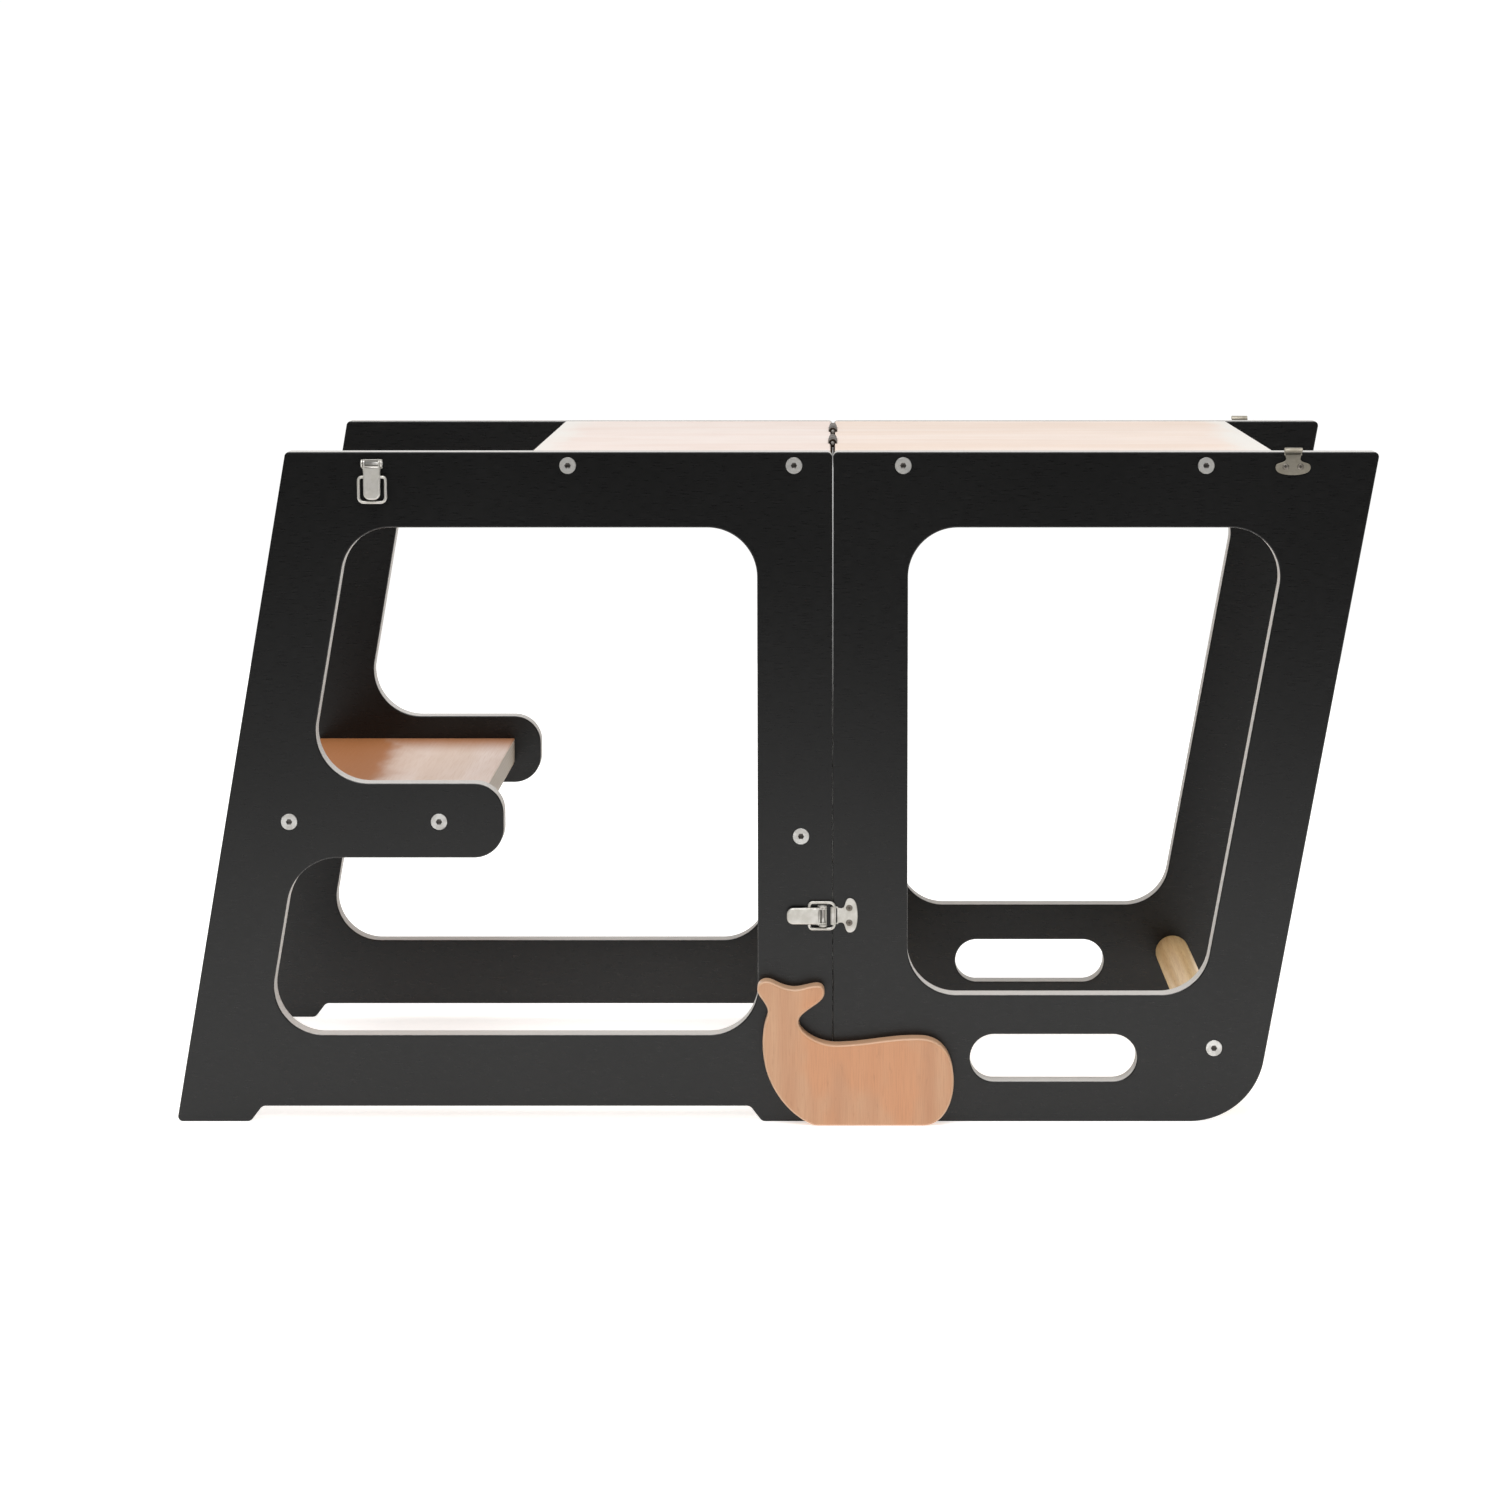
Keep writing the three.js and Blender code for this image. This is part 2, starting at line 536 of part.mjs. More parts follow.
// Lever: a flat finger plate over two flanges, which hold the pivot pin and the ends of the bail.
function latchLever() {
  const halfWidth = LEVER_WIDTH / 2;
  const top = PIVOT_HEIGHT + LEVER_TOP_SETBACK;
  const finger = new THREE.Shape(roundedOutline([
    [-LEVER_LENGTH, -halfWidth, LEVER_TIP_RADIUS],
    [-LEVER_TOP_SETBACK, -halfWidth, 0],
    [-LEVER_TOP_SETBACK, halfWidth, 0],
    [-LEVER_LENGTH, halfWidth, LEVER_TIP_RADIUS],
  ]));
  const flanges = SIDES.map(({ sign }) => {
    const flange = new THREE.Shape(roundedOutline([
      [-(BAIL_PIVOT_BACK + 2.6 * LEVER_ROOT), top, 0],
      [-(BAIL_PIVOT_BACK + LEVER_ROOT), BAIL_HEIGHT - LEVER_ROOT, 2],
      [-(BAIL_PIVOT_BACK - LEVER_ROOT), BAIL_HEIGHT - LEVER_ROOT, 2],
      [-LEVER_ROOT, PIVOT_HEIGHT - LEVER_ROOT, 2],
      [LEVER_ROOT, PIVOT_HEIGHT - LEVER_ROOT, 1.9],
      [LEVER_ROOT, top, 1.9],
    ]));
    flange.holes.push(roundHole(0, PIVOT_HEIGHT, LATCH_BORE_RADIUS));
    flange.holes.push(roundHole(-BAIL_PIVOT_BACK, BAIL_HEIGHT, BAIL_WIRE_RADIUS + BAIL_HOLE_CLEARANCE));
    return standingSheet(flange, LEVER_SHEET, sign < 0 ? -halfWidth : halfWidth - LEVER_SHEET);
  });
  return join(sheet(finger, LEVER_SHEET).translate(0, 0, top - LEVER_SHEET), ...flanges);
}

// Wire bail about its own pivot: ends turned in to the lever's flanges, two arms and the bar.
function latchBail() {
  const [reach, half] = [BAIL_LENGTH, BAIL_HALF_WIDTH];
  const end = LEVER_WIDTH / 2 - LEVER_SHEET - BAIL_HOLE_CLEARANCE;
  const corners = [
    [0, -half, BAIL_ROOT_RADIUS],
    [reach, -half, BAIL_CORNER_RADIUS],
    [reach, half, BAIL_CORNER_RADIUS],
    [0, half, BAIL_ROOT_RADIUS],
  ];
  const path = new THREE.CurvePath();
  let last = new THREE.Vector3(0, -end, 0);
  corners.forEach(([u, v, radius], index) => {
    const next = corners[index + 1] ?? [0, end];
    const corner = new THREE.Vector3(u, v, 0);
    const ahead = new THREE.Vector3(next[0], next[1], 0).sub(corner).setLength(radius).add(corner);
    const before = last.clone().sub(corner).setLength(radius).add(corner);
    path.add(new THREE.LineCurve3(last, before));
    path.add(new THREE.QuadraticBezierCurve3(before, corner, ahead));
    last = ahead;
  });
  path.add(new THREE.LineCurve3(last, new THREE.Vector3(0, end, 0)));
  const section = new THREE.Shape(roundHole(0, 0, BAIL_WIRE_RADIUS).getPoints(4).slice(0, -1));
  return new THREE.ExtrudeGeometry(section, { steps: BAIL_STEPS, extrudePath: path });
}

function latchPin() {
  return new THREE.CylinderGeometry(LATCH_PIN_RADIUS, LATCH_PIN_RADIUS, 2 * EAR_OUTER, ROUND_SIDES);
}

// Keeper: a head that is screwed down, a neck, and a lip turned out for the bail's bar.
function keeperPlate() {
  const [half, head] = [KEEPER_NECK_WIDTH / 2, KEEPER_HEAD_WIDTH / 2];
  const end = KEEPER_NECK_END + KEEPER_HEAD_LENGTH;
  const flat = new THREE.Shape(roundedOutline([
    [KEEPER_START, -half, 0],
    [KEEPER_NECK_END, -half, 1],
    [KEEPER_NECK_END, -head, KEEPER_HEAD_RADIUS],
    [end, -head, KEEPER_HEAD_RADIUS],
    [end, head, KEEPER_HEAD_RADIUS],
    [KEEPER_NECK_END, head, KEEPER_HEAD_RADIUS],
    [KEEPER_NECK_END, half, 1],
    [KEEPER_START, half, 0],
  ]));
  for (const { sign } of SIDES) {
    const v = (sign * KEEPER_HOLE_SPACING) / 2;
    flat.holes.push(roundHole(KEEPER_NECK_END + KEEPER_HEAD_LENGTH / 2, v, KEEPER_HOLE_RADIUS));
  }
  const lip = new THREE.BoxGeometry(KEEPER_THICKNESS, KEEPER_NECK_WIDTH, KEEPER_LIP_HEIGHT);
  lip.translate(KEEPER_START + KEEPER_THICKNESS / 2, 0, KEEPER_LIP_HEIGHT / 2);
  return join(sheet(flat, KEEPER_THICKNESS), lip);
}

// A group whose x, y and z are the latch's u, v and w, on the outer face of one side.
function latchFrame(side, x, z, towardsKeeper) {
  const frame = new THREE.Group();
  const out = new THREE.Vector3(0, side.sign, 0);
  const across = new THREE.Vector3().crossVectors(out, towardsKeeper);
  frame.setRotationFromMatrix(new THREE.Matrix4().makeBasis(towardsKeeper, across, out));
  frame.position.set(x, side.sign * (OUTER_FACE + FACE_GAP), z);
  return frame;
}

// The latch body. A hooked bail points to the keeper, a folded one hangs back round the lever.
function latch(where, side, frame, bailFolded) {
  const part = (name, ...rest) => piece(`${where}_latch_${name}_${side.name}`, ...rest);
  const bail = part('bail', latchBail(), nickel(), -BAIL_PIVOT_BACK, 0, BAIL_HEIGHT);
  bail.rotation.y = bailFolded ? Math.PI : 0;
  frame.add(
    part('plate', latchPlate(), nickel()),
    part('lever', latchLever(), nickel()),
    bail,
    part('pin', latchPin(), zincSteel(), 0, 0, PIVOT_HEIGHT),
  );
  return frame;
}

function keeper(where, side, frame) {
  frame.add(piece(`${where}_keeper_${side.name}`, keeperPlate(), nickel()));
  return frame;
}

// The two halves

const SEAM_LATCH_X = SEAM_BAR_PAST_SEAM - BAR_REACH;
const ALONG = new THREE.Vector3(1, 0, 0);
const UP = new THREE.Vector3(0, 0, 1);
const DOWN = new THREE.Vector3(0, 0, -1);

function baseHalf() {
  const half = new THREE.Group();
  const rooms = SIDES.map(knuckleRoom);
  const topMiddle = -(HALF_SEAM + BASE_TOP_LENGTH / 2);
  half.add(board('base_tabletop', 'base', BASE_TOP_LENGTH, topMiddle, TABLETOP_MIDDLE, rooms));
  half.add(board('seat_board', 'base', SEAT_DEPTH, SEAT_MIDDLE, SEAT_HEIGHT));
  half.add(rail('base_cross_rail', 'base', -BASE_RAIL_TO_SEAM, BASE_RAIL_HEIGHT));
  for (const side of SIDES) {
    const whaleRooms = whaleScrewRooms(side, side.sign * OUTER_FACE);
    const panel = sidePanel(basePanelOutline(), [basePanelWindow()], 'base', side, whaleRooms);
    half.add(piece(`base_side_panel_${side.name}`, panel, blackLaminate(), 0, side.sign * OUTER_FACE, 0));
    half.add(...longScrews('base', side), whaleFoot(side), ...whaleScrews(side));
    half.add(latch('seam', side, latchFrame(side, SEAM_LATCH_X, SEAM_LATCH_HEIGHT, ALONG), false));
    const frontFrame = latchFrame(side, -FRONT_LATCH_TO_SEAM, FOLD_HEIGHT - BAR_REACH, UP);
    half.add(latch('front', side, frontFrame, true));
  }
  return half;
}

function upperHalf() {
  const half = new THREE.Group();
  const rooms = SIDES.map(knuckleRoom);
  const topMiddle = HALF_SEAM + UPPER_TOP_LENGTH / 2;
  half.add(board('upper_tabletop', 'upper', UPPER_TOP_LENGTH, topMiddle, TABLETOP_MIDDLE, rooms));
  half.add(rail('upper_back_rail', 'upper', BACK_RAIL_TO_SEAM, UPPER_RAIL_HEIGHT));
  half.add(rail('upper_front_rail', 'upper', FRONT_RAIL_TO_SEAM, UPPER_RAIL_HEIGHT));
  for (const side of SIDES) {
    const panel = sidePanel(upperPanelOutline(), [upperPanelWindow(), handleSlot()], 'upper', side);
    half.add(piece(`upper_side_panel_${side.name}`, panel, blackLaminate(), 0, side.sign * OUTER_FACE, 0));
    half.add(...longScrews('upper', side));
    half.add(keeper('seam', side, latchFrame(side, SEAM_LATCH_X, SEAM_LATCH_HEIGHT, ALONG)));
    const frontFrame = latchFrame(side, FRONT_LATCH_TO_SEAM, FOLD_HEIGHT + BAR_REACH, DOWN);
    half.add(keeper('front', side, frontFrame));
  }
  return half;
}

function seamHinge(side) {
  const hinge = new THREE.Group();
  hinge.position.set(0, side.sign * HINGE_TO_MIDDLE, FOLD_HEIGHT);
  hinge.add(
    piece(`hinge_base_leaf_${side.name}`, hingeLeaf(-1), nickel()),
    piece(`hinge_upper_leaf_${side.name}`, hingeLeaf(1), nickel()),
    piece(`hinge_pin_${side.name}`, hingePin(), zincSteel()),
  );
  return hinge;
}

const learningTower = new THREE.Group();
learningTower.add(baseHalf(), upperHalf(), ...SIDES.map(seamHinge));
learningTower.position.x = TOWER_SHIFT;

export default learningTower;
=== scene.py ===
"""Looks of a folding learning tower, opened out as a low table with a seat between its arms.

Shapes are worked out in millimetres. X is measured from the seam between the two halves, Y from the middle of
the tower and Z from the floor. Each finished mesh is put into the frame in metres. Right is the side of -Y.
"""

import logging
import math
from collections.abc import Sequence
from dataclasses import dataclass, replace
from enum import Enum

import bpy
import numpy as np
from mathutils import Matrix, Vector
from mathutils.geometry import tessellate_polygon


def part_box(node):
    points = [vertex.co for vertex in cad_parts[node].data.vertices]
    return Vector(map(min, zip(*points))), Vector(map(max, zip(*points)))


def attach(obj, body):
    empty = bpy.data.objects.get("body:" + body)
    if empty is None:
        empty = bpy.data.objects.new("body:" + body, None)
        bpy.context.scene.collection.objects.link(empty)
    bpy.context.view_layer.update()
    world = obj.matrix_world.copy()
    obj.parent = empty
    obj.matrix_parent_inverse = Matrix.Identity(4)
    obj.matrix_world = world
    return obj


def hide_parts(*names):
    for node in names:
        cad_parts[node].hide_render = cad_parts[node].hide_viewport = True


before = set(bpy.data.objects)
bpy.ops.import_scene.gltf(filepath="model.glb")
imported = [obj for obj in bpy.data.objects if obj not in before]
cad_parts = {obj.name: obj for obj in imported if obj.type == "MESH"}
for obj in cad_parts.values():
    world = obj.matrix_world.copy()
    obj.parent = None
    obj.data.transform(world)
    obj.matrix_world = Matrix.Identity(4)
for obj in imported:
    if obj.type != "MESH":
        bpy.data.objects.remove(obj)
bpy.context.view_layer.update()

log = logging.getLogger("learning_tower")

Array = np.ndarray
Piece = bpy.types.Object
Socket = bpy.types.NodeSocket
# What a socket is fed: another node's output, a plain value or a colour's code
Feed = Socket | float | tuple | str
Sizes = tuple[float, ...]
Spot = tuple[float, float]
# A direction, or a place in three dimensions
Axis = tuple[float, float, float]
# A corner of an outline: its two coordinates, and the radius that rounds it
Corner = Axis

MM = 0.001
FULL_TURN = 2 * math.pi
QUARTER_TURN = math.pi / 2
ORIGIN = (0.0, 0.0, 0.0)
X_AXIS, Y_AXIS, Z_AXIS = (1.0, 0.0, 0.0), (0.0, 1.0, 0.0), (0.0, 0.0, 1.0)
DOWN = (0.0, 0.0, -1.0)
EVEN = (1.0, 1.0, 1.0)

# How far a straight step may lie from a true arc, in millimetres
CHORD = 0.01
# Vertices whose places agree to this many decimals of a millimetre are one
WELD_DECIMALS = 4
# A face turned from its given normals by more than this cosine gets its own flat normal
FLAT_COSINE = 0.8
# The Map Range node's inputs
RANGE_SOCKETS = ("Value", "From Min", "From Max", "To Min", "To Max")
# The places of the Mix node's two inputs and its output, for colours and for values
MIX_SOCKETS = {"RGBA": (6, 7, 2), "FLOAT": (2, 3, 0)}
# How deep the end grain lies in a plywood edge, in metres
PLY_RELIEF = 0.00004


class Side(Enum):
    """The two sides of the tower. The value is the sign of Y."""

    RIGHT = -1
    LEFT = 1

    @property
    def label(self) -> str:
        """The side's name, as the nodes have it."""
        return self.name.lower()

    @property
    def inward(self) -> Axis:
        """The direction from this side's outer face into the tower."""
        return (0.0, -float(self.value), 0.0)

    def outer_face(self, node: str) -> float:
        """Y of a node's face on the outside of the tower."""
        low, high = node_box(node)
        return low[1] if self is Side.RIGHT else high[1]


class Body(Enum):
    """The two halves, which fold about the seam."""

    BASE = "base_frame"
    UPPER = "upper_frame"

    @property
    def half(self) -> str:
        """The half's name, as the nodes have it."""
        return self.name.lower()

    @property
    def way(self) -> float:
        """The sign of X on this half's side of the seam."""
        return -1.0 if self is Body.BASE else 1.0


class Slot(Enum):
    """The record's material slots."""

    BLACK_LAMINATE = "black_laminate"
    PALE_BIRCH = "pale_birch"
    BEECH = "beech"
    DOWEL_WOOD = "dowel_wood"
    NICKEL = "nickel"
    ZINC_STEEL = "zinc_steel"


# Measures from the frame

# X of the seam in the frame, in metres: the middle of a hinge pin
SEAM_X = sum(corner[0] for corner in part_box("hinge_pin_right")) / 2


def node_box(node: str) -> tuple[Array, Array]:
    """The lowest and highest corner of a CAD node.

    Args:
        node: The node's name.

    Returns:
        Two corners in millimetres, with X from the seam.
    """
    shift = np.array([SEAM_X, 0.0, 0.0])
    low, high = (np.array(corner, dtype=float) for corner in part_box(node))
    return (low - shift) / MM, (high - shift) / MM


def node_middle(node: str) -> Array:
    """The middle of a CAD node's box, in millimetres with X from the seam."""
    low, high = node_box(node)
    return (low + high) / 2


# Surfaces


@dataclass(frozen=True)
class Surface:
    """Faces with a normal at each of their corners.

    Attributes:
        points: The (n, 3) places of the vertices.
        corners: For each corner of each face in turn, the number of its vertex.
        sizes: How many corners each face has.
        normals: The (corners, 3) direction in which the shape faces at each corner.
        hollow: For each vertex, 1 inside a socket or recess and 0 elsewhere.
    """

    points: Array
    corners: Array
    sizes: Array
    normals: Array
    hollow: Array

    def welded(self) -> "Surface":
        """The same faces with vertices in the same place made one.

        Returns:
            The surface without doubles.
        """
        rounded = self.points.round(WELD_DECIMALS)
        _, first, number = np.unique(rounded, axis=0, return_index=True, return_inverse=True)
        corners = number.ravel()[self.corners]
        return replace(self, points=self.points[first], corners=corners, hollow=self.hollow[first])

    def facing_out(self) -> "Surface":
        """Turns round each face whose corners run against its normals.

        A face's own direction is the sum of the cross products of its neighbouring corners. Where it points
        against the sum of the corner normals, its corners are reversed.

        Returns:
            The surface with every face turned outwards.
        """
        starts = np.cumsum(self.sizes) - self.sizes
        place = np.arange(len(self.corners))
        start = np.repeat(starts, self.sizes)
        size = np.repeat(self.sizes, self.sizes)
        following = start + (place - start + 1) % size
        spots = self.points[self.corners]
        direction = np.add.reduceat(np.cross(spots, spots[following]), starts)
        wanted = np.add.reduceat(self.normals, starts)
        turned = np.repeat(np.einsum("ij,ij->i", direction, wanted) < 0, self.sizes)
        order = np.where(turned, 2 * start + size - 1 - place, place)
        return replace(self, corners=self.corners[order], normals=self.normals[order])


def joined(parts: Sequence[Surface]) -> Surface:
    """Several surfaces as one.

    Args:
        parts: The surfaces.

    Returns:
        One surface that has the faces of them all.
    """
    firsts = np.cumsum([0] + [len(part.points) for part in parts])
    return Surface(
        np.concatenate([part.points for part in parts]),
        np.concatenate([part.corners + first for part, first in zip(parts, firsts)]),
        np.concatenate([part.sizes for part in parts]),
        np.concatenate([part.normals for part in parts]),
        np.concatenate([part.hollow for part in parts]),
    )


@dataclass(frozen=True)
class Placement:
    """A set of axes to lay a flat drawing out in.

    Attributes:
        origin: Where the drawing's origin goes.
        right: The direction of the drawing's first coordinate.
        up: The direction of its second coordinate.
        depth: The direction of its third coordinate, the depth.
    """

    origin: Sequence[float]
    right: Axis = X_AXIS
    up: Axis = Z_AXIS
    depth: Axis = Y_AXIS

    @property
    def axes(self) -> Array:
        """The three directions as the rows of a matrix."""
        return np.array([self.right, self.up, self.depth], dtype=float)

    def place(self, surface: Surface) -> Surface:
        """The surface laid out in these axes."""
        points = surface.points @ self.axes + np.array(self.origin, dtype=float)
        return replace(surface, points=points, normals=surface.normals @ self.axes)


def grid_faces(rows: Array, start: Array, end: Array) -> Surface:
    """Four-cornered faces between neighbouring rows of a grid whose columns run round and close.

    Args:
        rows: The (k, n, 3) places, with one row for each point of the profile.
        start: The (k - 1, n, 3) normals at the first row of each band of faces.
        end: The (k - 1, n, 3) normals at its second row.

    Returns:
        The bands. A face that departs far from the given normals, at a recess, gets its own flat normal.
    """
    count, around = rows.shape[:2]
    number = np.arange(count * around).reshape(count, around)
    following = np.roll(number, -1, axis=1)
    faces = np.stack([number[:-1], following[:-1], following[1:], number[1:]], axis=-1)
    normals = np.stack([start, np.roll(start, -1, axis=1), np.roll(end, -1, axis=1), end], axis=2)
    points = rows.reshape(-1, 3)
    spots = points[faces]
    flat = np.cross(spots[..., 2, :] - spots[..., 0, :], spots[..., 3, :] - spots[..., 1, :])
    flat /= np.linalg.norm(flat, axis=-1, keepdims=True)
    likeness = np.einsum("kncx,knx->knc", normals, flat)
    flat *= np.where(likeness.sum(axis=-1, keepdims=True) < 0, -1.0, 1.0)
    strayed = np.abs(likeness) < FLAT_COSINE
    normals = np.where(strayed[..., None], flat[:, :, None, :], normals)
    sizes = np.full((count - 1) * around, 4)
    return Surface(points, faces.reshape(-1), sizes, normals.reshape(-1, 3), np.zeros(len(points)))


def flat_faces(outlines: Sequence[Array], depth: float, facing: int, hollow: float = 0.0) -> Surface:
    """A flat face at one depth, bounded by an outline and by any holes in it.

    Args:
        outlines: The (n, 2) points of the outline, and then of each hole.
        depth: The third coordinate of the face.
        facing: 1 to face along the depth, -1 to face against it.
        hollow: 1 where the face is the floor of a socket.

    Returns:
        The triangles that fill the face.
    """
    flat = np.concatenate(outlines)
    corners = [np.column_stack([outline, np.zeros(len(outline))]).tolist() for outline in outlines]
    triangles = np.array(tessellate_polygon(corners))
    points = np.column_stack([flat, np.full(len(flat), depth)])
    normals = np.tile([0.0, 0.0, float(facing)], (triangles.size, 1))
    marks = np.full(len(points), hollow)
    return Surface(points, triangles.reshape(-1), np.full(len(triangles), 3), normals, marks)


# Loops and profiles


@dataclass(frozen=True)
class Loop:
    """A curve in a plane.

    Attributes:
        points: Its (n, 2) points. An outline runs anticlockwise and a hole clockwise.
        normals: At each point, the direction that leaves the material.
    """

    points: Array
    normals: Array

    def as_hole(self) -> "Loop":
        """The same curve run the other way, with the material outside it."""
        return Loop(self.points[::-1], -self.normals[::-1])


def unit(vector: Array) -> Array:
    """The vector, or each row of an array of vectors, given length 1."""
    return vector / np.linalg.norm(vector, axis=-1, keepdims=True)


def corner_arc(before: Array, corner: Array, after: Array, radius: float) -> Loop:
    """The arc that rounds one corner of an outline and touches both of its sides.

    The arc's centre is on the line that halves the corner, at the radius over the sine of half the angle.
    Each point is the centre plus the radius times a direction that turns evenly from side to side.

    Args:
        before: The corner before it.
        corner: The corner itself.
        after: The corner after it.
        radius: The arc's radius. At 0 the corner is one point on a straight side.

    Returns:
        The arc's points, and the directions to the right of the way along them.
    """
    back, ahead = unit(before - corner), unit(after - corner)
    if radius == 0:
        way = unit(after - before)
        return Loop(corner[None], np.array([[way[1], -way[0]]]))
    half = math.acos(np.clip(back @ ahead, -1.0, 1.0)) / 2
    centre = corner + unit(back + ahead) * radius / math.sin(half)
    first = corner + back * radius / math.tan(half) - centre
    left_hand = back[0] * ahead[1] - back[1] * ahead[0] < 0
    turn = math.pi - 2 * half
    largest_step = 2 * math.acos(1 - min(CHORD / radius, 0.5))
    steps = max(3, math.ceil(turn / largest_step))
    share = np.linspace(0.0, 1.0, steps + 1)
    angles = math.atan2(first[1], first[0]) + (turn if left_hand else -turn) * share
    radial = np.column_stack([np.cos(angles), np.sin(angles)])
    return Loop(centre + radius * radial, radial if left_hand else -radial)


def rounded_loop(corners: Sequence[Corner], hole: bool = False) -> Loop:
    """A closed outline whose corners are rounded.

    Args:
        corners: Its corners.
        hole: Whether the material is outside the loop.

    Returns:
        The loop, run anticlockwise for an outline and clockwise for a hole.
    """
    table = np.array(corners, dtype=float)
    following = np.roll(table, -1, axis=0)
    if (table[:, 0] * following[:, 1] - following[:, 0] * table[:, 1]).sum() < 0:
        table = table[::-1]
    spots = table[:, :2]
    befores, afters = np.roll(spots, 1, axis=0), np.roll(spots, -1, axis=0)
    arcs = [corner_arc(*row) for row in zip(befores, spots, afters, table[:, 2])]
    loop = Loop(np.concatenate([arc.points for arc in arcs]), np.concatenate([arc.normals for arc in arcs]))
    return loop.as_hole() if hole else loop


def box_loop(low: Spot, high: Spot, radii: Sequence[float], hole: bool = False) -> Loop:
    """A rectangle between two opposite corners, with the radii of its corners from the low one round."""
    corners = zip((low[0], high[0], high[0], low[0]), (low[1], low[1], high[1], high[1]), radii)
    return rounded_loop(list(corners), hole)


def mirrored(half: Sequence[Corner]) -> list[Corner]:
    """Corners, and then their mirror images across the first axis in the opposite order."""
    return [*half, *((u, -v, radius) for u, v, radius in reversed(half))]


def ring(radius: float, centre: Spot = (0.0, 0.0), steps: int = 48, hole: bool = False) -> Loop:
    """A circle: the centre plus the radius times the cosine and sine of an angle that goes once round.

    Args:
        radius: Its radius.
        centre: Its centre.
        steps: How many points it has.
        hole: Whether the material is outside it.

    Returns:
        The loop.
    """
    angles = np.linspace(0.0, FULL_TURN, steps, endpoint=False)
    radial = np.column_stack([np.cos(angles), np.sin(angles)])
    loop = Loop(np.array(centre) + radius * radial, radial)
    return loop.as_hole() if hole else loop


def smooth_loop(points: Array, spacing: float, passes: int) -> Loop:
    """An even, softened closed curve through a rough one.

    The points are spread evenly over the curve's length. Each pass then puts every point at a quarter of its
    two neighbours plus half of itself. A normal is square to the line between the two neighbours.

    Args:
        points: The rough curve, anticlockwise.
        spacing: The distance between its new points.
        passes: How many times it is softened.

    Returns:
        The curve as an outline.
    """
    closed = np.vstack([points, points[:1]])
    length = np.concatenate([[0.0], np.cumsum(np.linalg.norm(np.diff(closed, axis=0), axis=1))])
    along = np.linspace(0.0, length[-1], round(length[-1] / spacing), endpoint=False)
    even = np.column_stack([np.interp(along, length, closed[:, axis]) for axis in (0, 1)])
    for _ in range(passes):
        even = (np.roll(even, 1, axis=0) + 2 * even + np.roll(even, -1, axis=0)) / 4
    way = unit(np.roll(even, -1, axis=0) - np.roll(even, 1, axis=0))
    return Loop(even, np.column_stack([way[:, 1], -way[:, 0]]))


@dataclass(frozen=True)
class Profile:
    """The section that is carried along a loop.

    Attributes:
        points: (k, 2) pairs of how far the section lies outside the loop, and its depth.
        start: The (k - 1, 2) normals at the first end of each stretch.
        end: The (k - 1, 2) normals at its second end.
    """

    points: Array
    start: Array
    end: Array


def quarter_round(radius: float, steps: int) -> tuple[Array, Array]:
    """The section of a rounded rim: a quarter circle from a board's face to its edge.

    It lies outside the loop by the radius times (sine - 1), at a depth of the radius times (1 - cosine).

    Args:
        radius: The rim's radius.
        steps: How many stretches it has.

    Returns:
        Its (steps + 1, 2) points and normals.
    """
    angle = np.linspace(0.0, QUARTER_TURN, steps + 1)
    points = np.column_stack([radius * (np.sin(angle) - 1), radius * (1 - np.cos(angle))])
    return points, np.column_stack([np.sin(angle), -np.cos(angle)])


def rounded_profile(thickness: float, radius: float, steps: int = 5) -> Profile:
    """The edge of a board whose two rims are rounded over. The second rim is the first one mirrored.

    Args:
        thickness: The board's thickness.
        radius: The radius of both rims.
        steps: How many stretches each quarter circle has.

    Returns:
        The profile, from one face to the other.
    """
    rim, facing = quarter_round(radius, steps)
    points = np.vstack([rim, (rim * [1, -1] + [0, thickness])[::-1]])
    normals = np.vstack([facing, (facing * [1, -1])[::-1]])
    return Profile(points, normals[:-1], normals[1:])


def creased_profile(*points: Spot) -> Profile:
    """A section of straight stretches with sharp bends. A normal is its stretch turned a quarter right.

    Args:
        points: The bends, each as how far it lies outside the loop and its depth.

    Returns:
        The profile.
    """
    table = np.array(points, dtype=float)
    way = unit(np.diff(table, axis=0))
    normals = np.column_stack([way[:, 1], -way[:, 0]])
    return Profile(table, normals, normals)


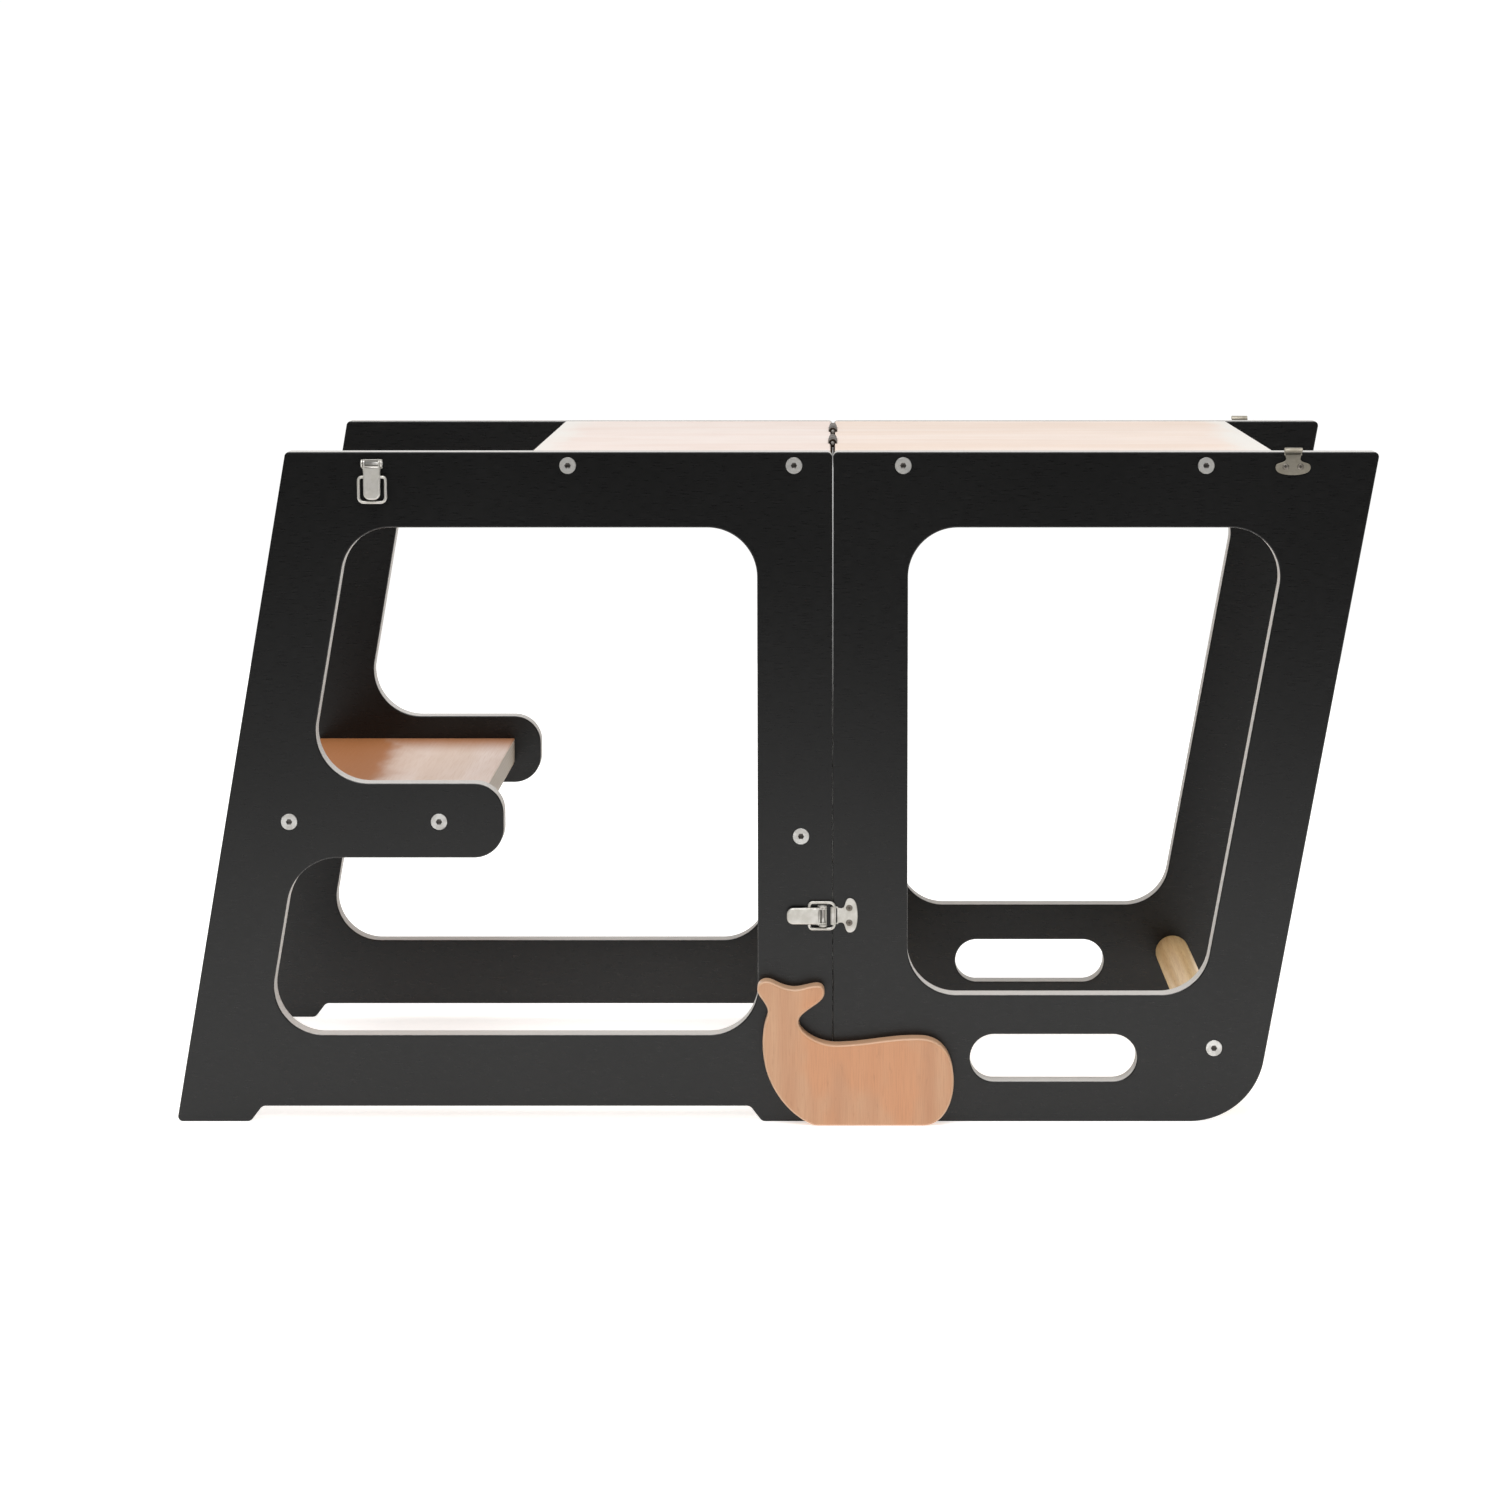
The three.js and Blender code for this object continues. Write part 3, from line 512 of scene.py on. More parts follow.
@dataclass(frozen=True)
class Rim:
    """A loop of a solid's outline with the profile that is carried along it.

    Attributes:
        loop: The loop.
        profile: The section.
        blind: Whether the far end is closed on its own, as a socket's floor or a screw's tip is.
        shift: Extra (k, n, 2) amounts outside the loop and in depth.
    """

    loop: Loop
    profile: Profile
    blind: bool = False
    shift: Array | float = 0.0

    @property
    def rows(self) -> Array:
        """The (k, n, 3) places: each loop point moved along its normal, at the profile's depth.

        Returns:
            One row for each point of the profile.
        """
        count, around = len(self.profile.points), len(self.loop.points)
        amounts = self.profile.points[:, None, :] + np.zeros((count, around, 2)) + self.shift
        flat = self.loop.points + self.loop.normals * amounts[..., :1]
        return np.concatenate([flat, amounts[..., 1:]], axis=-1)

    def normals(self, section: Array) -> Array:
        """The normals that a section's normals give along the loop.

        Args:
            section: The section's (k - 1, 2) normals.

        Returns:
            The (k - 1, n, 3) normals: the section's outward share times the loop's normal, and its depth.
        """
        outward = section[:, None, :1] * self.loop.normals
        depth = np.broadcast_to(section[:, None, 1:], (*outward.shape[:2], 1))
        return np.concatenate([outward, depth], axis=-1)

    def side(self, hollow: float = 0.0) -> Surface:
        """The surface that the profile sweeps.

        Args:
            hollow: The mark of its vertices from the second row on.

        Returns:
            The surface, open at both ends.
        """
        sweep = grid_faces(self.rows, self.normals(self.profile.start), self.normals(self.profile.end))
        marks = np.full(len(sweep.points), hollow)
        marks[:len(self.loop.points)] = 0.0
        return replace(sweep, hollow=marks)


def carved(outline: Rim, *holes: Rim) -> Surface:
    """A closed solid: the sides of all rims, a face across their near ends, and faces across their far ends.

    Args:
        outline: The outer rim.
        holes: The rims of holes and sockets, run clockwise.

    Returns:
        The solid's surface, with the drawing's depth as its third coordinate.
    """
    rims = [outline, *holes]
    parts = [outline.side(), *(hole.side(1.0 if hole.blind else 0.0) for hole in holes)]
    parts.append(flat_faces([rim.rows[0, :, :2] for rim in rims], rims[0].rows[0, 0, 2], -1))
    through = [rim.rows[-1] for rim in rims if not rim.blind]
    if through:
        parts.append(flat_faces([row[:, :2] for row in through], through[0][0, 2], 1))
    for rim in rims:
        if rim.blind:
            end = rim.rows[-1]
            facing, hollow = (1, 0.0) if rim is outline else (-1, 1.0)
            parts.append(flat_faces([end[:, :2]], end[0, 2], facing, hollow))
    return joined(parts).welded()


def slab(loop: Loop, thickness: float, radius: float, holes: Sequence[Rim] = (), steps: int = 5) -> Surface:
    """A board or plate with rounded rims. Its near face is at depth 0."""
    return carved(Rim(loop, rounded_profile(thickness, radius, steps)), *holes)


def wire(corners: Sequence[Corner], radius: float, around: int = 20) -> Surface:
    """A round wire bent in a plane, with domed ends.

    Each place is a point of the path plus the radius times (cosine times the direction to the path's right,
    plus sine times the depth). At a dome, the radius shrinks by the sine of an angle and the path runs on by
    the radius times its cosine.

    Args:
        corners: The path's ends and corners, each with a bending radius.
        radius: The wire's radius.
        around: How many places a section has.

    Returns:
        The closed surface.
    """
    table = np.array(corners, dtype=float)
    spots = table[:, :2]
    bends = [corner_arc(*spots[i - 1:i + 2], table[i, 2]) for i in range(1, len(spots) - 1)]
    first, last = unit(spots[1] - spots[0]), unit(spots[-1] - spots[-2])
    path = np.vstack([spots[:1], *[bend.points for bend in bends], spots[-1:]])
    right = np.vstack([[first[1], -first[0]], *[bend.normals for bend in bends], [last[1], -last[0]]])
    dome = np.radians([8.0, 30.0, 60.0])
    reach = radius * np.cos(dome)[:, None]
    straight = np.ones(len(path))
    path = np.vstack([path[0] - first * reach, path, (path[-1] + last * reach)[::-1]])
    right = np.vstack([np.tile(right[0], (len(dome), 1)), right, np.tile(right[-1], (len(dome), 1))])
    swell = np.concatenate([np.sin(dome), straight, np.sin(dome)[::-1]])
    lean = np.concatenate([-np.cos(dome), 0.0 * straight, np.cos(dome)[::-1]])
    level = np.zeros(len(path))
    ways = np.column_stack([-right[:, 1], right[:, 0], level])
    angle = np.linspace(0.0, FULL_TURN, around, endpoint=False)
    sides = np.column_stack([right, level])[:, None] * np.cos(angle)[:, None]
    sides = sides + np.array(Z_AXIS) * np.sin(angle)[:, None]
    normals = sides * swell[:, None, None] + (ways * lean[:, None])[:, None]
    rows = np.column_stack([path, level])[:, None] + radius * sides * swell[:, None, None]
    ends = [
        Surface(row, np.arange(around), np.array([around]), np.tile(facing, (around, 1)), np.zeros(around))
        for row, facing in ((rows[0], -ways[0]), (rows[-1], ways[-1]))
    ]
    return joined([grid_faces(rows, normals[:-1], normals[1:]), *ends]).welded()


# Finishes


def linear(code: str) -> tuple[float, float, float, float]:
    """A colour's linear red, green, blue and alpha.

    A stored value is divided by 12.92 where it is small. Otherwise 0.055 is added to it, the sum is divided
    by 1.055, and that is raised to the power of 2.4.

    Args:
        code: The colour as #rrggbb.

    Returns:
        The four values, with an alpha of 1.
    """
    shades = [int(code[place:place + 2], 16) / 255 for place in (1, 3, 5)]
    red, green, blue = (s / 12.92 if s <= 0.04045 else ((s + 0.055) / 1.055) ** 2.4 for s in shades)
    return red, green, blue, 1.0


class Nodes:
    """Short ways to lay out the nodes of a material or a world."""

    def __init__(self, tree: bpy.types.NodeTree) -> None:
        """Starts with a node tree."""
        self.tree = tree

    def feed(self, socket: Socket, value: Feed) -> None:
        """Links a value to a socket, or sets the socket to it.

        Args:
            socket: The input to feed.
            value: Another node's output, a plain value, or a colour as #rrggbb.
        """
        if isinstance(value, Socket):
            self.tree.links.new(value, socket)
        else:
            socket.default_value = linear(value) if isinstance(value, str) else value

    def add(
        self, kind: str, feeds: dict[str | int, Feed], output: str | int = 0, **settings: object
    ) -> Socket:
        """Adds a node.

        Args:
            kind: The node's type, without ShaderNode in front.
            feeds: What its inputs are fed, by their names or places.
            output: The name or place of the output that is wanted.
            settings: Its properties.

        Returns:
            That output.
        """
        node = self.tree.nodes.new("ShaderNode" + kind)
        for name, value in settings.items():
            setattr(node, name, value)
        for name, value in feeds.items():
            self.feed(node.inputs[name], value)
        return node.outputs[output]

    def place(self, scale: Axis = EVEN, turn: Axis = ORIGIN) -> Socket:
        """The place on the object in metres, stretched along each axis and then turned about each."""
        feeds = {"Vector": self.add("TexCoord", {}, "Object"), "Rotation": turn, "Scale": scale}
        return self.add("Mapping", feeds, vector_type="POINT")

    def axis(self, name: str) -> Socket:
        """The X, Y or Z of the place on the object, in metres."""
        return self.add("SeparateXYZ", {"Vector": self.place()}, name)

    def noise(
        self, scale: float, detail: float = 2.0, stretch: Axis = EVEN, turn: Axis = ORIGIN
    ) -> Socket:
        """Soft noise from about 0.3 to 0.7. Scale is features to the metre, and detail finer layers."""
        feeds = {"Vector": self.place(stretch, turn), "Scale": scale, "Detail": detail}
        return self.add("TexNoise", feeds, "Fac")

    def rings(self, vector: Socket, scale: float, bend: float, fuzz: float) -> Socket:
        """Bands across X from 0 to 1, as growth rings: how dense, how far bent and how finely bent."""
        feeds = {"Vector": vector, "Scale": scale, "Distortion": bend, "Detail": 3.0, "Detail Scale": fuzz}
        return self.add("TexWave", feeds, "Fac", wave_type="BANDS", bands_direction="X")

    def math(self, operation: str, first: Feed, second: Feed = 0.0) -> Socket:
        """The result of one operation on two values."""
        return self.add("Math", {0: first, 1: second}, operation=operation)

    def spread(self, value: Socket, low: float, high: float, bottom: float = 0.0, top: float = 1.0) -> Socket:
        """Carries low to bottom and high to top, with a soft curve between them, and stops at both."""
        feeds = dict(zip(RANGE_SOCKETS, (value, low, high, bottom, top)))
        return self.add("MapRange", feeds, clamp=True, interpolation_type="SMOOTHSTEP")

    def mix(self, share: Feed, first: Feed, second: Feed, kind: str = "RGBA") -> Socket:
        """Two colours mixed, or two values where the kind is FLOAT. The share is that of the second."""
        near, far, result = MIX_SOCKETS[kind]
        return self.add("Mix", {"Factor": share, near: first, far: second}, result, data_type=kind)

    def bump(self, height: Socket, depth: float, under: Feed = ORIGIN) -> Socket:
        """The normal of a relief with a depth in metres, over the normal of a relief under it."""
        feeds = {"Strength": 1.0, "Distance": depth, "Height": height, "Normal": under}
        return self.add("Bump", feeds)

    def grain(self, along: Axis, fineness: float, stretch: float) -> Socket:
        """Fibres: noise drawn out along the grain, with their number to the metre and width over length."""
        squeeze = tuple(stretch if part else 1.0 for part in along)
        return self.noise(fineness, 3.0, squeeze)


class MaterialNodes(Nodes):
    """The nodes of a material with one surface shader."""

    def __init__(self, name: str) -> None:
        """Starts the material with nothing in it but the shader and the output.

        Args:
            name: The material's name.
        """
        self.material = bpy.data.materials.new(name)
        self.material.use_nodes = True
        super().__init__(self.material.node_tree)
        self.tree.nodes.clear()
        self.shader = self.tree.nodes.new("ShaderNodeBsdfPrincipled")
        output = self.tree.nodes.new("ShaderNodeOutputMaterial")
        self.tree.links.new(self.shader.outputs["BSDF"], output.inputs["Surface"])

    def set(self, name: str, value: Feed) -> None:
        """Feeds one of the shader's inputs."""
        self.feed(self.shader.inputs[name], value)

    def plies(self, through: Socket, light: str, dark: str, ply: float = 1.385) -> tuple[Socket, Socket]:
        """The edge of plywood: layers in turn along and across the grain, with thin dark glue lines.

        Args:
            through: The place in the thickness, in millimetres from one face.
            light: The colour of a layer that lies along the edge.
            dark: The colour of a layer that shows its end grain.
            ply: The thickness of a layer.

        Returns:
            The colour, and a relief in which the end grain lies lower.
        """
        layer = self.math("DIVIDE", through, ply)
        odd = self.math("GREATER_THAN", self.math("MODULO", layer, 2.0), 1.0)
        fibre = self.noise(900.0, 3.0)
        flecked = self.math("ADD", self.math("MULTIPLY", odd, 0.75), self.spread(fibre, 0.35, 0.7, 0.0, 0.25))
        wood = self.mix(flecked, light, dark)
        off_middle = self.math("ABSOLUTE", self.math("SUBTRACT", self.math("FRACT", layer), 0.5))
        glue = self.spread(off_middle, 0.43, 0.49, 0.0, 0.45)
        relief = self.math("ADD", self.math("MULTIPLY", odd, -0.6), fibre)
        return self.mix(glue, wood, "#8a6a47"), relief

    def plywood_normal(self, face: Socket, plies: Socket, on_face: Socket) -> None:
        """Sets the shader's normal: the face's, and off the face the relief of the plies over it."""
        edge = self.math("MULTIPLY", plies, self.math("SUBTRACT", 1.0, on_face))
        self.set("Normal", self.bump(edge, PLY_RELIEF, face))


@dataclass(frozen=True)
class Finish:
    """A material, with the record's slot that it stands for."""

    material: bpy.types.Material
    slot: Slot


@dataclass(frozen=True)
class BlackPly:
    """Birch plywood with a matt black film on both faces and bare, clear-lacquered edges.

    Attributes:
        film: The two tones of the film's clouds.
        scuff: The tone of its fine scratches.
        edge: The tones of a ply that lies along the edge, and of one that shows its end grain.
        middle: How far the middle of the panel is from the tower's middle.
        half_thickness: Half of the panel's thickness.
        film_start: How far from the panel's middle the film starts, on the rounded rim.
        film_gloss: The film's roughness where it is smoothest and dullest.
        edge_gloss: The plies' roughness where they lie low and high.
        shine: How much the edges and the film reflect.
    """

    film: tuple[str, str] = ("#0b0b0b", "#0f0f0f")
    scuff: str = "#1f1f1e"
    edge: tuple[str, str] = ("#cdccca", "#b8b6b2")
    middle: float = 191.0
    half_thickness: float = 9.0
    film_start: float = 8.35
    film_gloss: Spot = (0.27, 0.36)
    edge_gloss: Spot = (0.8, 0.68)
    shine: Spot = (0.15, 0.41)

    def finish(self) -> Finish:
        """The film on the faces and over most of the rounded rims, and plies elsewhere.

        Returns:
            The finish.
        """
        nodes = MaterialNodes("black_film_on_birch_ply")
        across = nodes.math("ABSOLUTE", nodes.axis("Y"))
        from_middle = nodes.math("SUBTRACT", nodes.math("MULTIPLY", across, 1 / MM), self.middle)
        wobble = nodes.spread(nodes.noise(260.0), 0.3, 0.7, -0.08, 0.08)
        reach = nodes.math("ADD", nodes.math("ABSOLUTE", from_middle), wobble)
        on_face = nodes.spread(reach, self.film_start - 0.04, self.film_start + 0.04)
        cloud = nodes.spread(nodes.noise(7.0, 4.0), 0.35, 0.65)
        film = nodes.mix(cloud, *self.film)
        lines = nodes.noise(700.0, 1.0, (0.05, 1.0, 1.0), (0.0, 0.35, 0.0))
        rubbed = nodes.spread(nodes.noise(11.0), 0.5, 0.68, 0.0, 0.6)
        scratches = nodes.math("MULTIPLY", nodes.spread(lines, 0.7, 0.76), rubbed)
        film = nodes.mix(scratches, film, self.scuff)
        through = nodes.math("ADD", from_middle, self.half_thickness)
        plies, relief = nodes.plies(through, *self.edge)
        nodes.set("Base Color", nodes.mix(on_face, plies, film))
        weave = nodes.grain(X_AXIS, 1400.0, stretch=0.08)
        uneven = nodes.math("ADD", weave, nodes.math("MULTIPLY", scratches, 0.3))
        film_gloss = nodes.spread(uneven, 0.3, 0.8, *self.film_gloss)
        edge_gloss = nodes.spread(relief, -0.6, 0.7, *self.edge_gloss)
        nodes.set("Roughness", nodes.mix(on_face, edge_gloss, film_gloss, kind="FLOAT"))
        nodes.set("Specular IOR Level", nodes.spread(on_face, 0.0, 1.0, *self.shine))
        nodes.plywood_normal(nodes.bump(weave, 0.00001), relief, on_face)
        return Finish(nodes.material, Slot.BLACK_LAMINATE)


@dataclass(frozen=True)
class BirchPly:
    """Clear-lacquered birch plywood whose faces lie flat.

    Attributes:
        name: The material's name.
        node: The CAD node of the board, which gives the height of its lower face.
        along: 1 on the axis of the grain and 0 on the others.
        thickness: The board's thickness.
        veneer: The thickness of the face veneer as it shows on the edge.
        pale: The lighter tone of the face veneer.
        rosy: The warmer tone of its broad bands.
        shade: The tone of its fibres.
        edge: The tones of a ply that lies along the edge, and of one that shows its end grain.
        stain: A tone that comes in towards one end, and X in metres where it is full and where it starts.
        panel_glow: Y in metres where painted shade starts beside the panels and where it is full.
        warm_side: How much of the end tone is painted right beside the panels, as shade where they meet.
    """

    name: str
    node: str
    along: Axis
    thickness: float = 18.0
    veneer: Spot = (0.65, 0.75)
    pale: str = "#e1d5cf"
    rosy: str = "#ddcdc5"
    shade: str = "#cdb9ab"
    edge: tuple[str, str] = ("#e4dfd6", "#d0c5b5")
    stain: tuple[str, float, float] | None = None
    panel_glow: Spot = (0.085, 0.18)
    warm_side: float = 0.0

    def finish(self) -> Finish:
        """Veneer near the two faces, and plies between them.

        Returns:
            The finish.
        """
        nodes = MaterialNodes(self.name)
        bottom, half = node_box(self.node)[0][2], self.thickness / 2
        through = nodes.math("SUBTRACT", nodes.math("MULTIPLY", nodes.axis("Z"), 1 / MM), bottom)
        from_middle = nodes.math("ABSOLUTE", nodes.math("SUBTRACT", through, half))
        on_face = nodes.spread(from_middle, half - self.veneer[1], half - self.veneer[0])
        broad = nodes.spread(nodes.grain(self.along, 30.0, stretch=0.15), 0.36, 0.64)
        turn = ORIGIN if self.along == Y_AXIS else (0.0, 0.0, QUARTER_TURN)
        figure = nodes.rings(nodes.place(scale=(1.0, 0.1, 1.0), turn=turn), 16.0, 4.0, 1.2)
        fibres = nodes.spread(nodes.grain(self.along, 1500.0, stretch=0.02), 0.42, 0.7, 0.0, 0.35)
        veneer = nodes.mix(broad, self.pale, self.rosy)
        veneer = nodes.mix(nodes.math("MULTIPLY", figure, 0.14), veneer, self.shade)
        veneer = nodes.mix(fibres, veneer, self.shade)
        # A tone towards one end along X, and the same tone beside the panels. On the seat both are painted
        # shade.
        if self.stain:
            colour, full, start = self.stain
            drift = nodes.spread(nodes.grain(Y_AXIS, 30.0, stretch=0.3), 0.3, 0.7, -0.009, 0.009)
            share = nodes.spread(nodes.math("ADD", nodes.axis("X"), drift), start, full)
            # Painted shade: the end tone also comes in where the board meets the side panels.
            across = nodes.math("ABSOLUTE", nodes.axis("Y"))
            panel_shade_share = nodes.spread(across, *self.panel_glow, 0.0, self.warm_side)
            veneer = nodes.mix(nodes.math("MAXIMUM", share, panel_shade_share), veneer, colour)
        plies, relief = nodes.plies(through, *self.edge)
        nodes.set("Base Color", nodes.mix(on_face, plies, veneer))
        nodes.set("Roughness", nodes.spread(nodes.math("ADD", fibres, relief), -0.5, 1.2, 0.5, 0.66))
        nodes.set("Specular IOR Level", 0.35)
        nodes.plywood_normal(nodes.bump(nodes.math("MULTIPLY", fibres, on_face), 0.00005), relief, on_face)
        return Finish(nodes.material, Slot.PALE_BIRCH)


@dataclass(frozen=True)
class SolidWood:
    """Solid wood with a satin lacquer.

    Attributes:
        name: The material's name.
        slot: Its slot in the record.
        along: 1 on the axis of the grain and 0 on the others.
        light: The tone between the growth rings.
        dark: The tone of the rings.
        fleck: The tone of the short rays.
        rim: A lighter tone everywhere off the outer face, and how far that face is from the tower's middle.
        ring_scale: How many rings there are to the metre, over 3.
        fineness: How much the fibres and rays show.
        glow: The tone of its large warm patches.
    """

    name: str
    slot: Slot
    along: Axis
    light: str
    dark: str
    fleck: str
    rim: tuple[str, float] | None = None
    ring_scale: float = 34.0
    fineness: float = 0.4
    glow: str | None = None

    def finish(self) -> Finish:
        """Broad rings along the grain, fine fibres, and short dark rays.

        Returns:
            The finish.
        """
        nodes = MaterialNodes(self.name)
        squeeze = tuple(0.1 if part else 1.0 for part in self.along)
        rings = nodes.rings(nodes.place(scale=squeeze), self.ring_scale, 3.2, 1.2)
        broad = nodes.spread(nodes.grain(self.along, 60.0, stretch=0.1), 0.35, 0.65)
        tone = nodes.math("ADD", nodes.math("MULTIPLY", rings, 0.45), nodes.math("MULTIPLY", broad, 0.55))
        wood = nodes.mix(tone, self.light, self.dark)
        if self.glow:
            patches = nodes.spread(nodes.grain(self.along, 26.0, stretch=0.55), 0.46, 0.64, 0.0, 0.75)
            wood = nodes.mix(patches, wood, self.glow)
        fibres = nodes.spread(nodes.grain(self.along, 1700.0, stretch=0.03), 0.42, 0.7, 0.0, self.fineness)
        wood = nodes.mix(fibres, wood, self.fleck)
        rays = nodes.spread(nodes.grain(self.along, 620.0, stretch=0.16), 0.64, 0.7, 0.0, self.fineness)
        wood = nodes.mix(rays, wood, self.fleck)
        if self.rim:
            colour, face = self.rim
            across = nodes.math("ABSOLUTE", nodes.axis("Y"))
            off_face = nodes.spread(across, face * MM - 0.0004, face * MM - 0.00002, 0.55, 0.0)
            wood = nodes.mix(off_face, wood, colour)
        nodes.set("Base Color", wood)
        nodes.set("Roughness", nodes.spread(nodes.math("ADD", fibres, rays), 0.0, 0.8, 0.4, 0.58))
        nodes.set("Coat Weight", 0.2)
        nodes.set("Coat Roughness", 0.35)
        nodes.set("Normal", nodes.bump(nodes.math("ADD", fibres, nodes.math("MULTIPLY", rays, 0.7)), 0.00006))
        return Finish(nodes.material, self.slot)


@dataclass(frozen=True)
class PlatedMetal:
    """Plated steel, with fine tumbling marks, a slightly uneven tone and painted shade in its sockets.

    Attributes:
        name: The material's name.
        slot: Its slot in the record.
        bright: The tone of the clean metal.
        dull: The tone of its dull patches.
        polish: The roughness of the clean metal and of the dull patches.
        sheen: How metallic it is. A satin plating scatters part of the light.
        grime: The painted shade inside sockets and recesses.
    """

    name: str
    slot: Slot
    bright: str
    dull: str
    polish: Spot
    sheen: float = 1.0
    grime: str = "#4d4844"

    def finish(self) -> Finish:
        """Clouded metal with hair-fine marks that run in no one direction, and painted shade in its sockets.

        Returns:
            The finish.
        """
        nodes = MaterialNodes(self.name)
        cloud = nodes.spread(nodes.noise(160.0, 4.0), 0.36, 0.64)
        hollow = nodes.add("Attribute", {}, "Fac", attribute_name="hollow")
        plating = nodes.mix(cloud, self.bright, self.dull)
        # Painted shade: sockets and recesses are mixed most of the way to a dark tone.
        nodes.set("Base Color", nodes.mix(nodes.math("MULTIPLY", hollow, 0.9), plating, self.grime))
        nodes.set("Metallic", self.sheen)
        marks = nodes.noise(3800.0, stretch=(1.0, 1.0, 0.2), turn=(0.4, 0.7, 0.2))
        speckle = nodes.noise(1500.0)
        worn = nodes.math("ADD", nodes.math("MULTIPLY", cloud, 0.7), nodes.math("MULTIPLY", speckle, 0.3))
        nodes.set("Roughness", nodes.spread(worn, 0.0, 0.9, *self.polish))
        nodes.set("Normal", nodes.bump(marks, 0.000006, nodes.bump(speckle, 0.00001)))
        return Finish(nodes.material, self.slot)


class Finishes:
    """The finishes of the tower, each with its material made once."""

    def __init__(self) -> None:
        """Makes them all. The end tones' places are in metres in the frame."""
        base_end = node_box("base_tabletop")[0][0] * MM + SEAM_X
        upper_end = node_box("upper_tabletop")[1][0] * MM + SEAM_X
        table_fade, seat_fade = 0.03, 0.038
        seat_shade_full = SEAM_X - 0.335
        self.black_ply = BlackPly().finish()
        self.base_top = BirchPly(
            "birch_base_tabletop", "base_tabletop", X_AXIS,
            stain=("#dcd8d2", base_end, base_end + table_fade),
        ).finish()
        self.upper_top = BirchPly(
            "birch_upper_tabletop", "upper_tabletop", X_AXIS, pale="#e2d3c9", rosy="#decbbd",
            stain=("#dcd8d2", upper_end, upper_end - table_fade),
        ).finish()
        # The seat's warm brown end tone is painted shade towards its outer end.
        self.seat = BirchPly(
            "birch_seat", "seat_board", Y_AXIS, pale="#dfcec5", rosy="#d8c3b5", shade="#c6a994",
            # The seat's edge plies are darker than the tabletops': painted shade on its edges.
            edge=("#b5aca0", "#a19789"), warm_side=0.92,
            stain=("#a2683c", seat_shade_full, seat_shade_full + seat_fade),
        ).finish()
        self.whale = SolidWood(
            "beech_whale", Slot.BEECH, Z_AXIS, "#c69b79", "#bb8966", "#a67554", ring_scale=17.0,
            rim=("#d3b192", -Side.RIGHT.outer_face("whale_foot_right")), fineness=0.3, glow="#c98e65",
        ).finish()
        self.dowel = SolidWood(
            "lacquered_dowel", Slot.DOWEL_WOOD, Y_AXIS, "#f4d6a2", "#e1bb84", "#bd9662", ring_scale=60.0
        ).finish()
        self.nickel, self.zinc, self.dull_nickel, self.dull_zinc, self.aged_steel = (
            PlatedMetal(*row).finish() for row in (
                ("satin_nickel", Slot.NICKEL, "#d4d1cb", "#c5c2ba", (0.36, 0.5), 0.6),
                ("zinc_plate", Slot.ZINC_STEEL, "#dad9d6", "#c4c2be", (0.38, 0.52)),
                # A darker copy of the satin nickel: painted shade on the front keeper.
                ("dull_nickel", Slot.NICKEL, "#a39d90", "#8f897c", (0.4, 0.56), 0.8),
                # A darker copy of the zinc: painted shade on the keepers' screws.
                ("dull_zinc", Slot.ZINC_STEEL, "#9a948b", "#857e75", (0.42, 0.58)),
                # A near-black steel: painted shade of the hinges' recess in the seam.
                ("aged_steel", Slot.NICKEL, "#5b5047", "#40372f", (0.42, 0.58)),
            )
        )


# Pieces


def add_piece(
    name: str, surfaces: Surface | Sequence[Surface], finish: Finish, body: str, *nodes: str
) -> Piece:
    """Makes a visible piece and ties it to the frame.

    Args:
        name: The piece's name.
        surfaces: Its closed surfaces, in millimetres with X from the seam.
        finish: Its finish.
        body: The body that it moves with.
        nodes: The CAD nodes that it stands for.

    Returns:
        The object, at the origin with its place in its mesh.
    """
    surface = joined([surfaces] if isinstance(surfaces, Surface) else list(surfaces)).facing_out()
    places = surface.points * MM + np.array([SEAM_X, 0.0, 0.0])
    mesh = bpy.data.meshes.new(name)
    mesh.vertices.add(len(places))
    mesh.vertices.foreach_set("co", places.ravel())
    mesh.loops.add(len(surface.corners))
    mesh.loops.foreach_set("vertex_index", surface.corners.astype(np.int32))
    mesh.polygons.add(len(surface.sizes))
    mesh.polygons.foreach_set("loop_start", (np.cumsum(surface.sizes) - surface.sizes).astype(np.int32))
    mesh.update(calc_edges=True)
    normals = mesh.attributes.new("custom_normal", "FLOAT_VECTOR", "CORNER")
    normals.data.foreach_set("vector", surface.normals.ravel())
    if surface.hollow.any():
        mesh.attributes.new("hollow", "FLOAT", "POINT").data.foreach_set("value", surface.hollow)
    mesh.update()
    mesh.materials.append(finish.material)
    piece = bpy.data.objects.new(name, mesh)
    bpy.context.collection.objects.link(piece)
    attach(piece, body)
    if nodes:
        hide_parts(*nodes)
    return piece


@dataclass(frozen=True)
class NodePiece:
    """A piece that stands for one CAD node.

    Attributes:
        node: The node's name.
        body: The body that it moves with.
    """

    node: str
    body: Body

    def surface(self) -> Surface:
        """The shape, which each kind of piece works out."""
        raise NotImplementedError

    def build(self, name: str, finish: Finish) -> Piece:
        """Makes the piece."""
        return add_piece(name, self.surface(), finish, self.body.value, self.node)


# Screws


